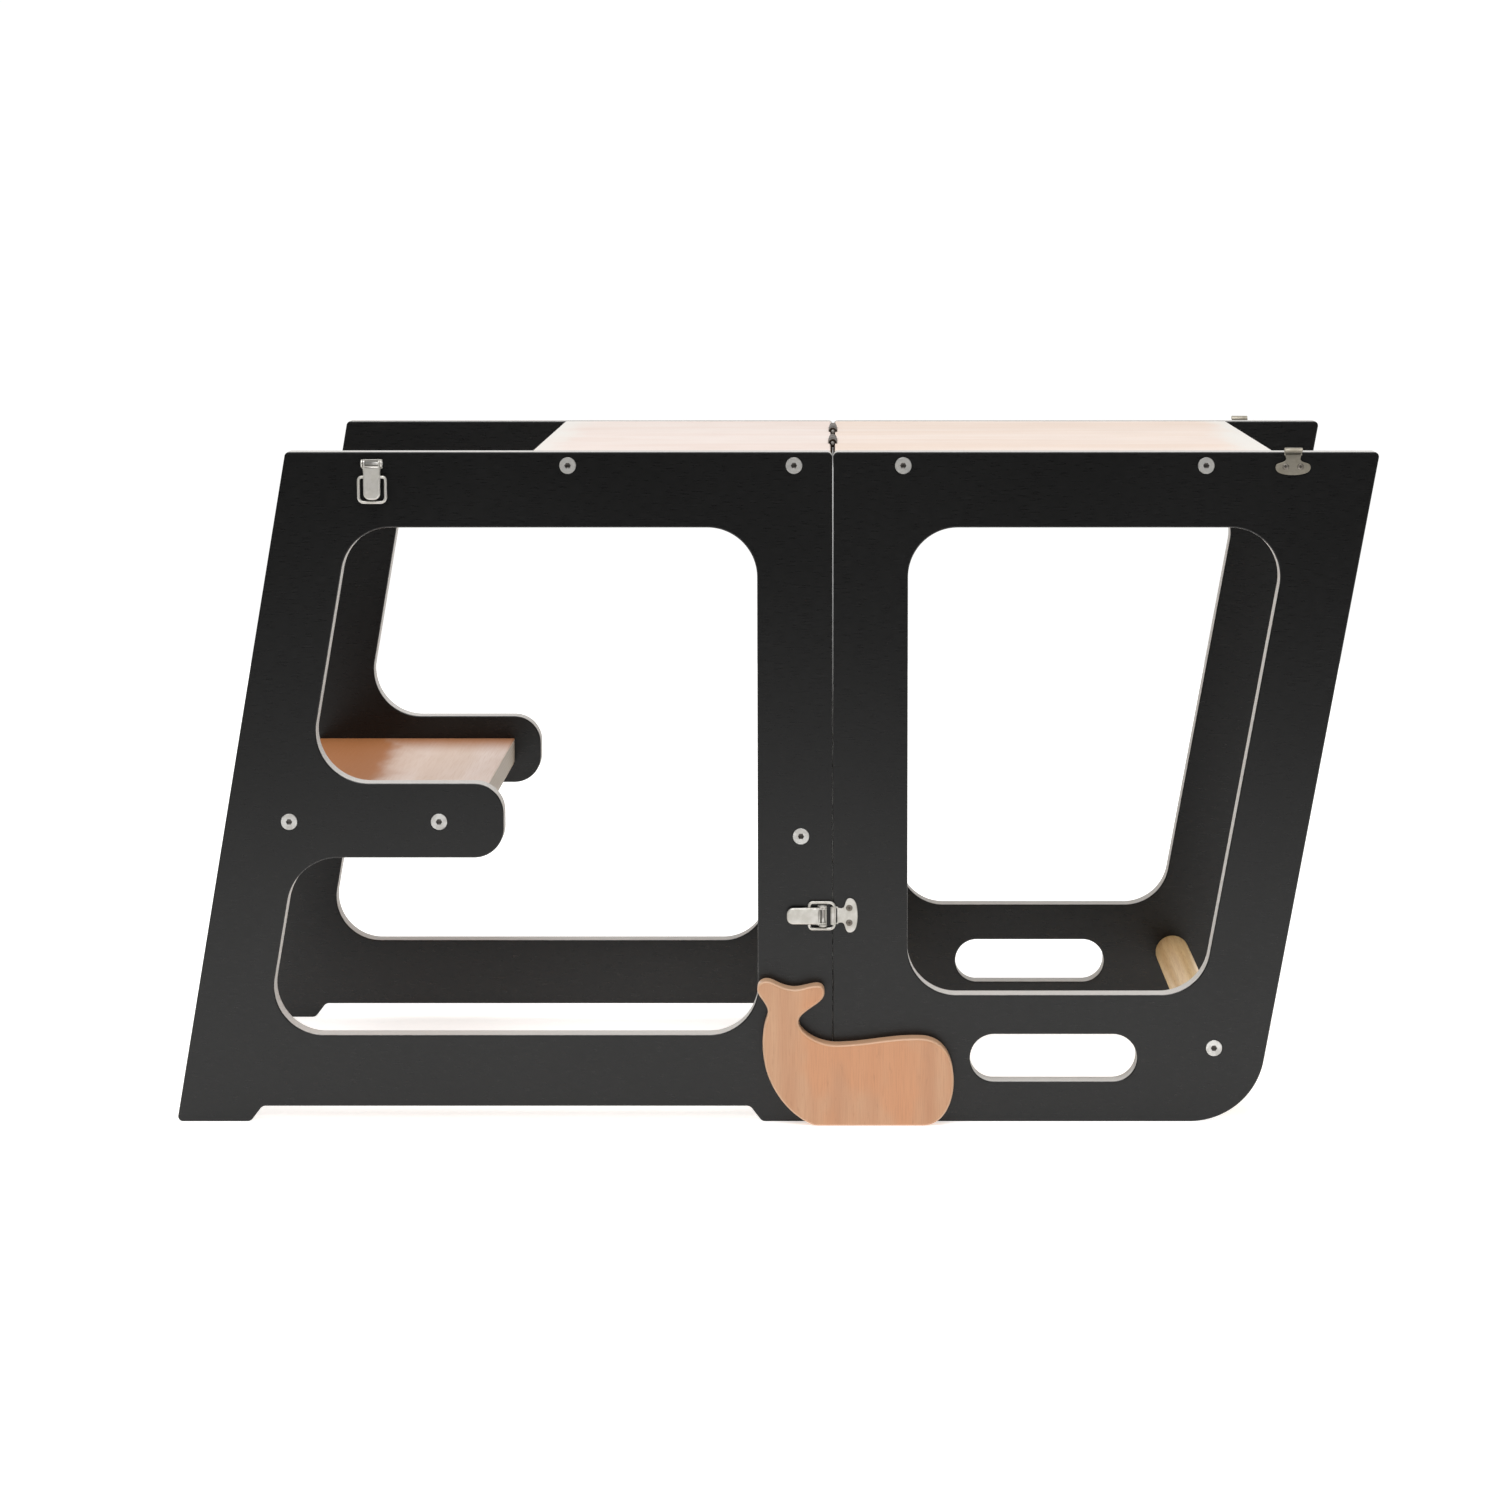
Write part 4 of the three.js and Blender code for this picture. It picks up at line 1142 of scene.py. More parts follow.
@dataclass(frozen=True)
class Screw(NodePiece):
    """A countersunk screw with a hexagonal socket.

    Attributes:
        inward: The sign of Y from its head to its tip.
        head: The depth of the head's cone over the screw's length, and over the head's radius at most.
        inner: The radii of the shank and of the socket, over the head's.
        rim: The width of the head's broken rim.
        tip: The radius of the flat tip.
        key_round: The radius of the socket's corners.
        mouth: The width and depth of the socket's broken mouth.
        key_depths: Where the socket's wall ends and its floor is, over the depth of the cone.
    """

    inward: float
    head: Spot = (0.066, 0.6)
    inner: Spot = (0.55, 0.36)
    rim: float = 0.25
    tip: float = 0.2
    key_round: float = 0.12
    mouth: float = 0.22
    key_depths: Spot = (0.62, 0.8)

    def surface(self) -> Surface:
        """The head with its socket, the shank and the tip.

        Returns:
            The closed surface.
        """
        low, high = node_box(self.node)
        radius, length = (high[2] - low[2]) / 2, high[1] - low[1]
        shank, key = (share * radius for share in self.inner)
        head = min(self.head[0] * length, self.head[1] * radius)
        outline = creased_profile(
            (-self.rim, 0.0), (0.0, self.rim), (0.0, 1.8 * self.rim), (shank - radius, head),
            (shank - radius, length - shank), (self.tip - radius, length),
        )
        turns = np.arange(6) * FULL_TURN / 6
        hexagon = [(key * math.cos(turn), key * math.sin(turn), self.key_round) for turn in turns]
        wall, floor = (share * head for share in self.key_depths)
        socket = creased_profile((-self.mouth, 0.0), (0.0, self.mouth), (0.0, wall), (0.5 * key, floor))
        solid = carved(
            Rim(ring(radius), outline, blind=True), Rim(rounded_loop(hexagon, hole=True), socket, blind=True)
        )
        x, _, z = node_middle(self.node)
        head_y = low[1] if self.inward > 0 else high[1]
        return Placement((x, head_y, z), depth=(0.0, self.inward, 0.0)).place(solid)


def long_screw_nodes(body: Body, side: Side) -> list[str]:
    """The nodes of the long screws through one side panel.

    Args:
        body: The panel's half.
        side: Its side.

    Returns:
        The nodes' names.
    """
    spots = {
        Body.BASE: ("base_tabletop_outer", "base_tabletop_seam", "seat_outer", "seat_inner", "base_rail"),
        Body.UPPER: ("upper_tabletop_seam", "upper_tabletop_outer", "upper_back_rail", "upper_front_rail"),
    }
    return [f"screw_{spot}_{side.label}" for spot in spots[body]]


@dataclass(frozen=True)
class DomedScrew:
    """A small domed screw head with a cross recess.

    Attributes:
        radius: The head's radius.
        dome: How far the whole dome would fall from its middle to its rim.
        proud: How far the head stands out of the sheet.
        facets: Where the dome's flat top and its facets end, over the radius.
        sunk: How far the head reaches on below its rim.
        arm: The length and half width of the recess's four arms, over the radius.
        recess: How much the arms narrow down to their floor, over their half width, and its depth.
    """

    radius: float
    dome: float
    proud: float
    facets: Sizes = (0.66, 0.78, 0.88, 0.96, 1.0)
    sunk: float = 0.9
    arm: Spot = (0.55, 0.14)
    recess: Spot = (0.3, 0.5)

    def surface(self) -> Surface:
        """The head with its top at depth 0, sunk along the depth.

        The dome falls by its height times the square of the distance from the middle over the radius, less
        what it would have fallen at the edge of its flat top.

        Returns:
            The closed surface.
        """
        radius, height, flat_top = self.radius, self.dome, self.facets[0]
        arm, width = (share * radius for share in self.arm)
        corners = []
        for turn in range(4):
            way = np.array([math.cos(turn * QUARTER_TURN), math.sin(turn * QUARTER_TURN)])
            side = np.array([-way[1], way[0]])
            for spot in (width * way - width * side, arm * way - width * side, arm * way + width * side):
                corners.append((*spot, 0.08 * width))
        section = creased_profile((0.0, 0.0), (self.recess[0] * width, self.recess[1]))
        dome = [(radius * (share - 1), height * (share ** 2 - flat_top ** 2)) for share in self.facets]
        outline = creased_profile(*dome, (0.0, height + self.sunk))
        cross = rounded_loop(corners, hole=True)
        return carved(Rim(ring(radius, steps=32), outline, blind=True), Rim(cross, section, blind=True))


# Side panels


@dataclass(frozen=True)
class SidePanel(NodePiece):
    """A side panel with rounded-over edges, open windows and countersunk holes for its screws.

    Attributes:
        side: Its side of the tower.
        height: The tabletops' height.
        half_length: The length of one half along the tabletop.
        splay: How far the outer edge leans from upright.
        gap: Half the gap at the seam, at the top and at the foot.
        closed: The height below which it is as narrow as at the foot.
        thickness: The plywood's thickness.
        member: The width of the posts and of the top member.
        window_radius: The radius of the windows' corners.
        corner: The radius of the small corners.
        round_over: The radius along every edge.
        countersink: A screw hole's radius at the face and in the wood, and the depth of its cone.
        hole_rim: The width and depth of its broken rim, and the depth where the cone starts.
    """

    side: Side
    height: float = 450.0
    half_length: float = 361.5
    splay: float = math.radians(10)
    gap: Spot = (0.4, 0.01)
    closed: float = 90.0
    thickness: float = 18.0
    member: float = 50.0
    window_radius: float = 33.0
    corner: float = 3.3
    round_over: float = 0.9
    countersink: Sizes = (5.6, 3.3, 3.6)
    hole_rim: Sizes = (0.25, 0.2, 0.5)

    def outline(self) -> Loop:
        """The outer edge, which each kind of panel draws."""
        raise NotImplementedError

    def openings(self) -> list[Loop]:
        """The openings, which each kind of panel draws."""
        raise NotImplementedError

    def screw_holes(self) -> list[Rim]:
        """The countersunk holes of the long screws.

        Returns:
            A rim for each hole.
        """
        wide, narrow, depth = self.countersink
        rim_width, rim_depth, cone_start = self.hole_rim
        lip = narrow - wide
        section = creased_profile(
            (lip - rim_width, 0.0), (lip, rim_depth), (lip, cone_start), (0.0, depth), (0.0, self.thickness)
        )
        spots = [node_middle(node)[[0, 2]] for node in long_screw_nodes(self.body, self.side)]
        return [Rim(ring(narrow, tuple(spot), hole=True), section) for spot in spots]

    def surface(self) -> Surface:
        """The panel, with its outer face on the tower's outside.

        Returns:
            The closed surface.
        """
        edge = rounded_profile(self.thickness, self.round_over)
        holes = [Rim(opening, edge) for opening in self.openings()] + self.screw_holes()
        axes = Placement((0.0, self.side.outer_face(self.node), 0.0), depth=self.side.inward)
        return axes.place(carved(Rim(self.outline(), edge), *holes))


@dataclass(frozen=True)
class BasePanel(SidePanel):
    """A panel of the base half, with a seat arm that reaches into its window and a foot at each end.

    Attributes:
        sill: The height of the window's lower side.
        outer_foot: The length of the foot under the outer edge.
        recess_to_seam: How far from the seam the recess between the feet ends.
        recess: Its height, the run of its slanted ends, and the radius of its corners.
        arm_bottom: The height of the arm's lower side.
        arm_width: The arm's width.
        arm_to_seam: How far the arm ends from the seam.
        arm_radii: The radii of the corners at its end, and of those where it leaves the post.
    """

    sill: float = 59.0
    outer_foot: float = 49.5
    recess_to_seam: float = 47.5
    recess: Sizes = (10.5, 8.0, 4.5)
    arm_bottom: float = 179.2
    arm_width: float = 50.0
    arm_to_seam: float = 219.3
    arm_radii: Spot = (20.0, 35.0)

    def edge(self, height: float) -> float:
        """How far the slanted outer edge is from the seam, at a height."""
        return self.half_length + (self.height - height) * math.tan(self.splay)

    def outline(self) -> Loop:
        """The outer edge, with the shallow recess between the feet.

        Returns:
            The outline.
        """
        (wide, narrow), corner = self.gap, self.corner
        rise, run, radius = self.recess
        start, end = self.outer_foot - self.edge(0.0), -self.recess_to_seam
        return rounded_loop([
            (-wide, self.height, corner), (-self.half_length, self.height, corner),
            (-self.edge(0.0), 0.0, corner), (start, 0.0, radius), (start + run, rise, radius),
            (end - run, rise, radius), (end, 0.0, radius), (-narrow, 0.0, corner),
            (-narrow, self.closed, 0.0),
        ])

    def openings(self) -> list[Loop]:
        """The window, into which the seat arm reaches from the outer post.

        Returns:
            The one opening.
        """
        post, sill, radius = self.member, self.sill, self.window_radius
        arm, (end, root) = self.arm_bottom, self.arm_radii
        top, arm_top = self.height - post, arm + self.arm_width
        return [rounded_loop([
            (-post, top, radius), (-post, sill, radius), (post - self.edge(sill), sill, radius),
            (post - self.edge(arm), arm, root), (-self.arm_to_seam, arm, end),
            (-self.arm_to_seam, arm_top, end), (post - self.edge(arm_top), arm_top, root),
            (post - self.edge(top), top, radius),
        ], hole=True)]


@dataclass(frozen=True)
class UpperPanel(SidePanel):
    """A panel of the upper half, with a window, a handle slot and a large corner at its foot.

    Attributes:
        sill: The height of the window's lower side.
        foot_radius: The radius of the corner at the foot of the slanted edge.
        slot: The handle slot's length without its round ends, and its width.
        slot_middle: How far its middle is from the seam, and its height.
    """

    sill: float = 86.2
    foot_radius: float = 50.0
    slot: Spot = (112.0, 32.3)
    slot_middle: Spot = (148.2, 43.4)

    def far_edge(self, height: float) -> float:
        """X of the slanted edge at a height."""
        return self.half_length - (self.height - height) * math.tan(self.splay)

    def outline(self) -> Loop:
        """The outer edge.

        Returns:
            The outline.
        """
        (wide, narrow), corner = self.gap, self.corner
        return rounded_loop([
            (wide, self.height, corner), (narrow, self.closed, 0.0), (narrow, 0.0, corner),
            (self.far_edge(0.0), 0.0, self.foot_radius), (self.half_length, self.height, corner),
        ])

    def openings(self) -> list[Loop]:
        """The window and the handle slot, whose corner radius is a hair under half its width.

        Returns:
            The two openings.
        """
        post, sill, radius = self.member, self.sill, self.window_radius
        top = self.height - post
        window = rounded_loop([
            (post, top, radius), (post, sill, radius),
            (self.far_edge(sill) - post, sill, radius), (self.far_edge(top) - post, top, radius),
        ], hole=True)
        x, z = self.slot_middle
        half, end = (size / 2 for size in self.slot)
        corners = (x - half, z - end), (x + half, z + end)
        return [window, box_loop(*corners, [0.999 * end] * 4, hole=True)]


# Boards and rails


@dataclass(frozen=True)
class Board(NodePiece):
    """A plywood board between the side panels.

    Attributes:
        seam_end: The sign of X towards an end with room for the hinges' knuckles, or 0.
        radii: The radii of its corners and along its edges.
        play: How far such a room runs past the hinge at each end.
        relief: How deep it goes into the board's end, and how far down from the top.
        step: The width of its steep walls.
    """

    seam_end: int = 0
    radii: Spot = (0.6, 0.7)
    play: float = 0.4
    relief: Spot = (1.65, 2.9)
    step: float = 0.02

    def knuckle_rooms(self) -> list[Spot]:
        """Where the room for each hinge starts and ends along Y."""
        pins = [node_box(f"hinge_pin_{side.label}") for side in Side]
        return [(low[1] - self.play, high[1] + self.play) for low, high in pins]

    def surface(self) -> Surface:
        """The board, from its top face downwards.

        The knuckles' rooms are cut by moving the upper rows of the edge inwards between each room's walls.

        Returns:
            The closed surface.
        """
        low, high = node_box(self.node)
        other, end = (low[0], high[0]) if self.seam_end > 0 else (high[0], low[0])
        rooms = self.knuckle_rooms() if self.seam_end else []
        walls = [y for first, last in rooms for y in (first, first + self.step, last - self.step, last)]
        corner, rim = self.radii
        loop = rounded_loop([
            (other, low[1], corner), (end, low[1], corner), *((end, y, 0.0) for y in walls),
            (end, high[1], corner), (other, high[1], corner),
        ])
        edge = rounded_profile(high[2] - low[2], rim)
        middle = len(edge.points) // 2
        inset, drop = self.relief
        outward = np.tile([1.0, 0.0], (2, 1))
        profile = Profile(
            np.insert(edge.points, middle, [[0.0, drop], [0.0, drop + self.step]], axis=0),
            np.insert(edge.start, middle - 1, outward, axis=0),
            np.insert(edge.end, middle - 1, outward, axis=0),
        )
        shift = np.zeros((len(profile.points), len(loop.points), 2))
        across = loop.points[:, 1]
        for first, last in rooms:
            inside = (across > first + self.step / 2) & (across < last - self.step / 2)
            inside &= np.abs(loop.points[:, 0] - end) < self.step
            shift[:middle + 1, inside, 0] = -inset - profile.points[:middle + 1, None, 0]
        solid = carved(Rim(loop, profile, shift=shift))
        return Placement((0.0, 0.0, high[2]), X_AXIS, Y_AXIS, DOWN).place(solid)


@dataclass(frozen=True)
class Rod(NodePiece):
    """A round rod that runs across the tower.

    Attributes:
        round_over: The radius along its rims, and how many stretches that has.
        steps: How many sides it has.
    """

    round_over: tuple[float, int] = (0.6, 5)
    steps: int = 96

    def surface(self) -> Surface:
        """The rod, a round slab as deep as the rod is long.

        Returns:
            The closed surface.
        """
        low, high = node_box(self.node)
        x, _, z = node_middle(self.node)
        radius, steps = self.round_over
        solid = slab(ring((high[2] - low[2]) / 2, steps=self.steps), high[1] - low[1], radius, steps=steps)
        return Placement((x, low[1], z)).place(solid)


# Whale feet


@dataclass(frozen=True)
class WhaleFoot(NodePiece):
    """A foot in the shape of a whale, sawn from beech and rounded over all round.

    Attributes:
        side: Its side of the tower.
        round_over: The radius along its rim, and how many stretches that has.
        drawn_height: The height of the drawn outline.
        start: Where the outline starts, at the end of its flat base.
        curves: Its stretches from there, each as two control points and an end.
        fineness: How many places each stretch has.
        softening: The finished outline's spacing, and how many times it is softened.
    """

    side: Side
    round_over: tuple[float, int] = (2.0, 7)
    drawn_height: float = 98.4
    start: Spot = (62.0, 0.0)
    curves: tuple[Sizes, ...] = (
        (74, 1, 81, 15, 81, 30), (81, 47, 74, 59.5, 58, 59.5), (38, 60, 22, 55, 2, 55),
        (-12, 55.5, -22.5, 64, -23, 70.5), (-22.5, 76, -15, 79, -9, 84), (-4, 87.5, -4, 94, -9, 95.3),
        (-16, 95.6, -22, 91.5, -28.5, 93), (-36, 94, -40, 98.6, -44.4, 98.4), (-50, 98, -52, 93, -49, 88.5),
        (-46, 84, -42, 80, -43.4, 75), (-47.5, 65, -48, 52, -44.5, 38), (-40, 22, -28, 6, -12, 0),
    )
    fineness: int = 24
    softening: tuple[float, int] = (0.8, 6)

    def outline(self, height: float) -> Loop:
        """The drawn curves. A place at share t is the cubic Bezier sum of a stretch's four points.

        Args:
            height: The foot's height.

        Returns:
            The outline.
        """
        share = np.linspace(0.0, 1.0, self.fineness, endpoint=False)[:, None]
        rest = 1 - share
        weights = np.hstack([rest ** 3, 3 * share * rest ** 2, 3 * share ** 2 * rest, share ** 3])
        table = np.array(self.curves, dtype=float).reshape(-1, 3, 2)
        starts = np.vstack([self.start, table[:-1, 2]])
        curve = (weights @ np.concatenate([starts[:, None], table], axis=1)).reshape(-1, 2)
        drawn = np.vstack([curve, table[-1, 2]]) * height / self.drawn_height
        return smooth_loop(drawn, *self.softening)

    def surface(self) -> Surface:
        """The foot, with its outer face on the tower's outside.

        Returns:
            The closed surface.
        """
        low, high = node_box(self.node)
        radius, steps = self.round_over
        solid = slab(self.outline(high[2] - low[2]), high[1] - low[1], radius, steps=steps)
        return Placement((0.0, self.side.outer_face(self.node), 0.0), depth=self.side.inward).place(solid)


# Seam hinges


@dataclass(frozen=True)
class SeamHinge:
    """A pinned hinge under the seam: a leaf for each half, five knuckles, the pin and the leaves' screws.

    Attributes:
        side: Its side of the tower.
        knuckles: How many both leaves have between them.
        knuckle_gap: The gap beside and below a knuckle.
        knuckle_radius: A knuckle's radius.
        knuckle_rims: The radius along its outer rims and along its bore's.
        bore: The bore's radius.
        leaf: The sheet's thickness.
        leaf_spacing: The gap between the leaves.
        leaf_corners: The radius of a leaf's lower and upper corners.
        leaf_rim: The radius along its edges.
        neck: How far a neck starts below the plate's top, and how much thinner it is.
        neck_rims: The radius of its corners and along its edges.
        screw: The screws' heads.
        screw_height: How far the screws are above the leaf's lower edge.
        screw_places: How far the screws are from the hinge's middle.
    """

    side: Side
    knuckles: int = 5
    knuckle_gap: float = 0.3
    knuckle_radius: float = 2.75
    knuckle_rims: Spot = (0.25, 0.1)
    bore: float = 1.5
    leaf: float = 1.0
    leaf_spacing: float = 0.4
    leaf_corners: Spot = (1.5, 0.3)
    leaf_rim: float = 0.12
    neck: Spot = (1.0, 0.04)
    neck_rims: Spot = (0.1, 0.05)
    screw: DomedScrew = DomedScrew(2.6, 0.25, 0.1)
    screw_height: float = 5.0
    screw_places: Sizes = (-24.0, 0.0, 24.0)

    def lay(self, drawing: Surface, body: Body, x: float, y: float = 0.0, z: float = 0.0) -> Surface:
        """A drawing of Y and Z laid against one half, with its near face at x from the seam."""
        return Placement((body.way * x, y, z), Y_AXIS, Z_AXIS, (body.way, 0.0, 0.0)).place(drawing)

    def leaf_surfaces(self, body: Body) -> list[Surface]:
        """One half's leaf with its knuckles, which take turns with the other half's.

        Args:
            body: The half.

        Returns:
            The plate, and a barrel and a neck for each knuckle.
        """
        pin_low, pin_high = node_box(f"hinge_pin_{self.side.label}")
        start, end = pin_low[1], pin_high[1]
        middle = (pin_low + pin_high) / 2
        bottom = node_box(f"hinge_{body.half}_leaf_{self.side.label}")[0][2]
        pitch = (end - start) / self.knuckles
        length = pitch - self.knuckle_gap
        top = middle[2] - self.knuckle_radius - self.knuckle_gap
        near = self.leaf_spacing / 2
        lower, upper = self.leaf_corners
        plate = box_loop((start, bottom), (end, top), (lower, lower, upper, upper))
        outer_rim, bore_rim = self.knuckle_rims
        hole = Rim(ring(self.bore, steps=24, hole=True), rounded_profile(length, bore_rim, 2))
        barrel = slab(ring(self.knuckle_radius, steps=40), length, outer_rim, [hole], steps=3)
        sunk, thinner = self.neck
        corner, rim = self.neck_rims
        neck_top = middle[2] - (self.bore + self.knuckle_radius) / 2
        parts = [self.lay(slab(plate, self.leaf, self.leaf_rim, steps=2), body, near)]
        for index in range(0 if body is Body.BASE else 1, self.knuckles, 2):
            first = start + index * pitch + self.knuckle_gap / 2
            last = first + length
            neck = box_loop((first, top - sunk), (last, neck_top), [corner] * 4)
            parts.append(Placement((middle[0], first, middle[2])).place(barrel))
            parts.append(self.lay(slab(neck, self.leaf - thinner, rim, steps=2), body, near + thinner / 2))
        return parts

    def screw_surfaces(self, body: Body) -> list[Surface]:
        """The heads of the screws that hold one leaf, a little proud of its open face.

        Args:
            body: The half.

        Returns:
            The heads.
        """
        height = node_box(f"hinge_{body.half}_leaf_{self.side.label}")[0][2] + self.screw_height
        middle = node_middle(f"hinge_pin_{self.side.label}")[1]
        head, face = self.screw.surface(), self.leaf_spacing / 2 - self.screw.proud
        return [self.lay(head, body, face, middle + place, height) for place in self.screw_places]

    def build(self, finishes: Finishes) -> list[Piece]:
        """Makes the leaves, their screws and the pin.

        Args:
            finishes: The finishes.

        Returns:
            The pieces.
        """
        # The hinges are near-black steel: painted shade of their recess in the seam.
        label, steel, zinc = self.side.label, finishes.aged_steel, finishes.zinc
        pieces = []
        for body in Body:
            name, node = f"{body.half}_{label}", f"hinge_{body.half}_leaf_{label}"
            leaf, screws = self.leaf_surfaces(body), self.screw_surfaces(body)
            pieces.append(add_piece(f"hinge_leaf_{name}", leaf, steel, body.value, node))
            pieces.append(add_piece(f"hinge_screws_{name}", screws, zinc, body.value))
        pin = Rod(f"hinge_pin_{label}", Body.BASE, round_over=(0.4, 4), steps=28)
        return [*pieces, pin.build(f"hinge_rod_{label}", zinc)]


# Toggle latches and keepers


class LatchPlace(Enum):
    """Where a latch is: across the seam, or at the front where it holds the folded tower."""

    SEAM = "seam"
    FRONT = "front"


# How a latch's drawings lie in its axes: flat with their depth outwards, flat with it inwards, and on edge
OUTWARDS = (X_AXIS, Y_AXIS, Z_AXIS)
INWARDS = (X_AXIS, Y_AXIS, DOWN)
ON_EDGE = (X_AXIS, Z_AXIS, Y_AXIS)


@dataclass(frozen=True)
class LatchPart:
    """Something drawn in a latch's own u towards the keeper, v across the latch and w out from the panel.

    Attributes:
        place: Where the latch is.
        side: Its side of the tower.
    """

    place: LatchPlace
    side: Side

    def axes(self) -> Placement:
        """The axes of u, v and w, which each kind of part places."""
        raise NotImplementedError

    def along(self, at_front: Axis) -> Array:
        """The direction of u: that of X at the seam, and a given one at the front."""
        return np.array(X_AXIS if self.place is LatchPlace.SEAM else at_front)

    def axes_at(self, origin: Array, along: Array) -> Placement:
        """The axes with a given origin and direction of u, and with w out from the panel."""
        out = np.array([0.0, float(self.side.value), 0.0])
        return Placement(tuple(origin), tuple(along), tuple(np.cross(out, along)), tuple(out))

    def lay(self, drawing: Surface, spot: Axis, way: tuple[Axis, Axis, Axis]) -> Surface:
        """A drawing with its origin at a spot in u, v and w, and its own axes along a way."""
        return self.axes().place(Placement(spot, *way).place(drawing))

    def screw_heads(self, screw: DomedScrew, sheet: float, spots: Sequence[Spot]) -> list[Surface]:
        """A screw's head at each of some places in u and v, a little proud of a sheet."""
        return [self.lay(screw.surface(), (*spot, sheet + screw.proud), INWARDS) for spot in spots]


@dataclass(frozen=True)
class ToggleLatch(LatchPart):
    """A toggle latch of pressed sheet, with a wire bail.

    Attributes:
        pivot: The pin's height over the plate's back.
        lever: The lever's length from the pin, width, sheet and tip radius.
        lever_top: How far its top is over the pin, and how far behind the pin it starts.
        bend: The outer radius of its pressed edge.
        stations: Where that edge's depth changes.
        lip: The edge's depth at the tip, at the bail's holes and at the pin.
        lever_end: How far the end plates reach back, and ahead and down, from the pin, and their radii.
        plate: The tongue's length and half width, and the sheet.
        plate_corners: The radii of the tongue's tip, of its root and of the wide part.
        ear: The ears' half length, sheet, and gap beside the lever.
        rim: The radius along the edges of the plate and ears, and of the end plates.
        bail: How far its pivot is behind the pin, and its height, reach and half width.
        bail_bends: The radii of its bends at the pivot and at the end.
        wire: The wire's radius.
        pin: The radius of the pin's rivet heads, and how far they stand out from the ears.
        screw: The screws' heads.
        screw_spots: u and v of the two screws, which are under the lever.
    """

    pivot: float = 4.0
    lever: Sizes = (24.0, 11.2, 1.0, 4.4)
    lever_top: Spot = (1.7, 1.7)
    bend: float = 1.2
    stations: Sizes = (-15.0, -11.5, -7.0, -3.0)
    lip: Sizes = (1.7, 4.8, 3.9)
    lever_end: Sizes = (4.5, 2.2, 1.0, 2.1, 1.7, 0.3)
    plate: Sizes = (21.0, 4.0, 1.0)
    plate_corners: Sizes = (2.4, 0.5, 0.6)
    ear: Sizes = (2.6, 1.0, 0.3)
    rim: Spot = (0.2, 0.15)
    bail: Sizes = (9.0, 2.7, 16.7, 8.9)
    bail_bends: Spot = (2.2, 3.4)
    wire: float = 1.0
    pin: Spot = (1.6, 0.55)
    screw: DomedScrew = DomedScrew(2.0, 0.5, 0.3)
    screw_spots: tuple[Spot, ...] = ((-17.5, 0.0), (-5.5, 0.0))

    @property
    def ear_span(self) -> Spot:
        """How far the ears' inner and outer faces are from the latch's middle."""
        inner = self.lever[1] / 2 + self.ear[2]
        return inner, inner + self.ear[1]

    def axes(self) -> Placement:
        """The latch's axes, from the place of its pin."""
        pin = node_middle(f"{self.place.value}_latch_pin_{self.side.label}")
        return self.axes_at(pin + np.array(self.side.inward) * self.pivot, self.along(Z_AXIS))

    def plate_surfaces(self) -> list[Surface]:
        """The plate under the lever, with the two ears that hold the pin.

        Returns:
            The plate and the ears.
        """
        tongue, half, sheet = self.plate
        tip, notch, wide = self.plate_corners
        reach, thick, _ = self.ear
        inner, outer = self.ear_span
        root = reach + 1.0
        lower = [(-tongue, -half, tip), (-root, -half, notch), (-root, -outer, wide), (reach, -outer, wide)]
        outline = rounded_loop(mirrored(lower))
        parts = [self.lay(slab(outline, sheet, self.rim[0], steps=3), ORIGIN, OUTWARDS)]
        foot, top, round_top = sheet - 0.2, self.pivot + reach, reach * 0.92
        ear = box_loop((-reach, foot), (reach, top), (0.1, 0.1, round_top, round_top))
        for start in (-outer, inner):
            parts.append(self.lay(slab(ear, thick, self.rim[0], steps=3), (0.0, start, 0.0), ON_EDGE))
        return parts

    def lever_surfaces(self) -> list[Surface]:
        """The lever: a shallow pressed tray, deepest at the bail's holes, and two end plates at the pin.

        The tray's section is a quarter round, a drop and a return along the sheet's inner side. The drop's
        depth is read off between the stations.

        Returns:
            The tray and the two end plates.
        """
        length, width, sheet, tip = self.lever
        rise, setback = self.lever_top
        half, top = width / 2, self.pivot + rise
        near = [(-length, -half, tip), *((u, -half, 0.0) for u in self.stations), (-setback, -half, 0.5)]
        loop = rounded_loop(mirrored(near))
        shallow, deep, end = self.lip
        stations = [-length, *self.stations, -setback - 0.3, -setback]
        depths = [shallow, shallow, deep, deep, end, end, sheet + 0.15]
        drop = np.interp(loop.points[:, 0], stations, depths)
        arc, facing = quarter_round(self.bend, 5)
        fold = self.bend + 0.01
        inside = [X_AXIS[:2], Y_AXIS[:2], (-1.0, 0.0)]
        tray = Profile(
            np.vstack([arc, [0.0, fold], [-sheet, fold], [-sheet, sheet]]),
            np.vstack([facing[:-1], inside]),
            np.vstack([facing[1:], inside]),
        )
        shift = np.zeros((len(tray.points), len(loop.points), 2))
        shift[-3:-1, :, 1] = np.maximum(drop - self.bend, 0.0)
        parts = [self.lay(carved(Rim(loop, tray, shift=shift)), (0.0, 0.0, top), INWARDS)]
        back, ahead, *radii = self.lever_end
        low, high = self.pivot - ahead, top - 0.05
        plate = slab(box_loop((-back, low), (ahead, high), radii), sheet, self.rim[1], steps=2)
        for start in (-half + 0.02, half - sheet - 0.02):
            parts.append(self.lay(plate, (0.0, start, 0.0), ON_EDGE))
        return parts

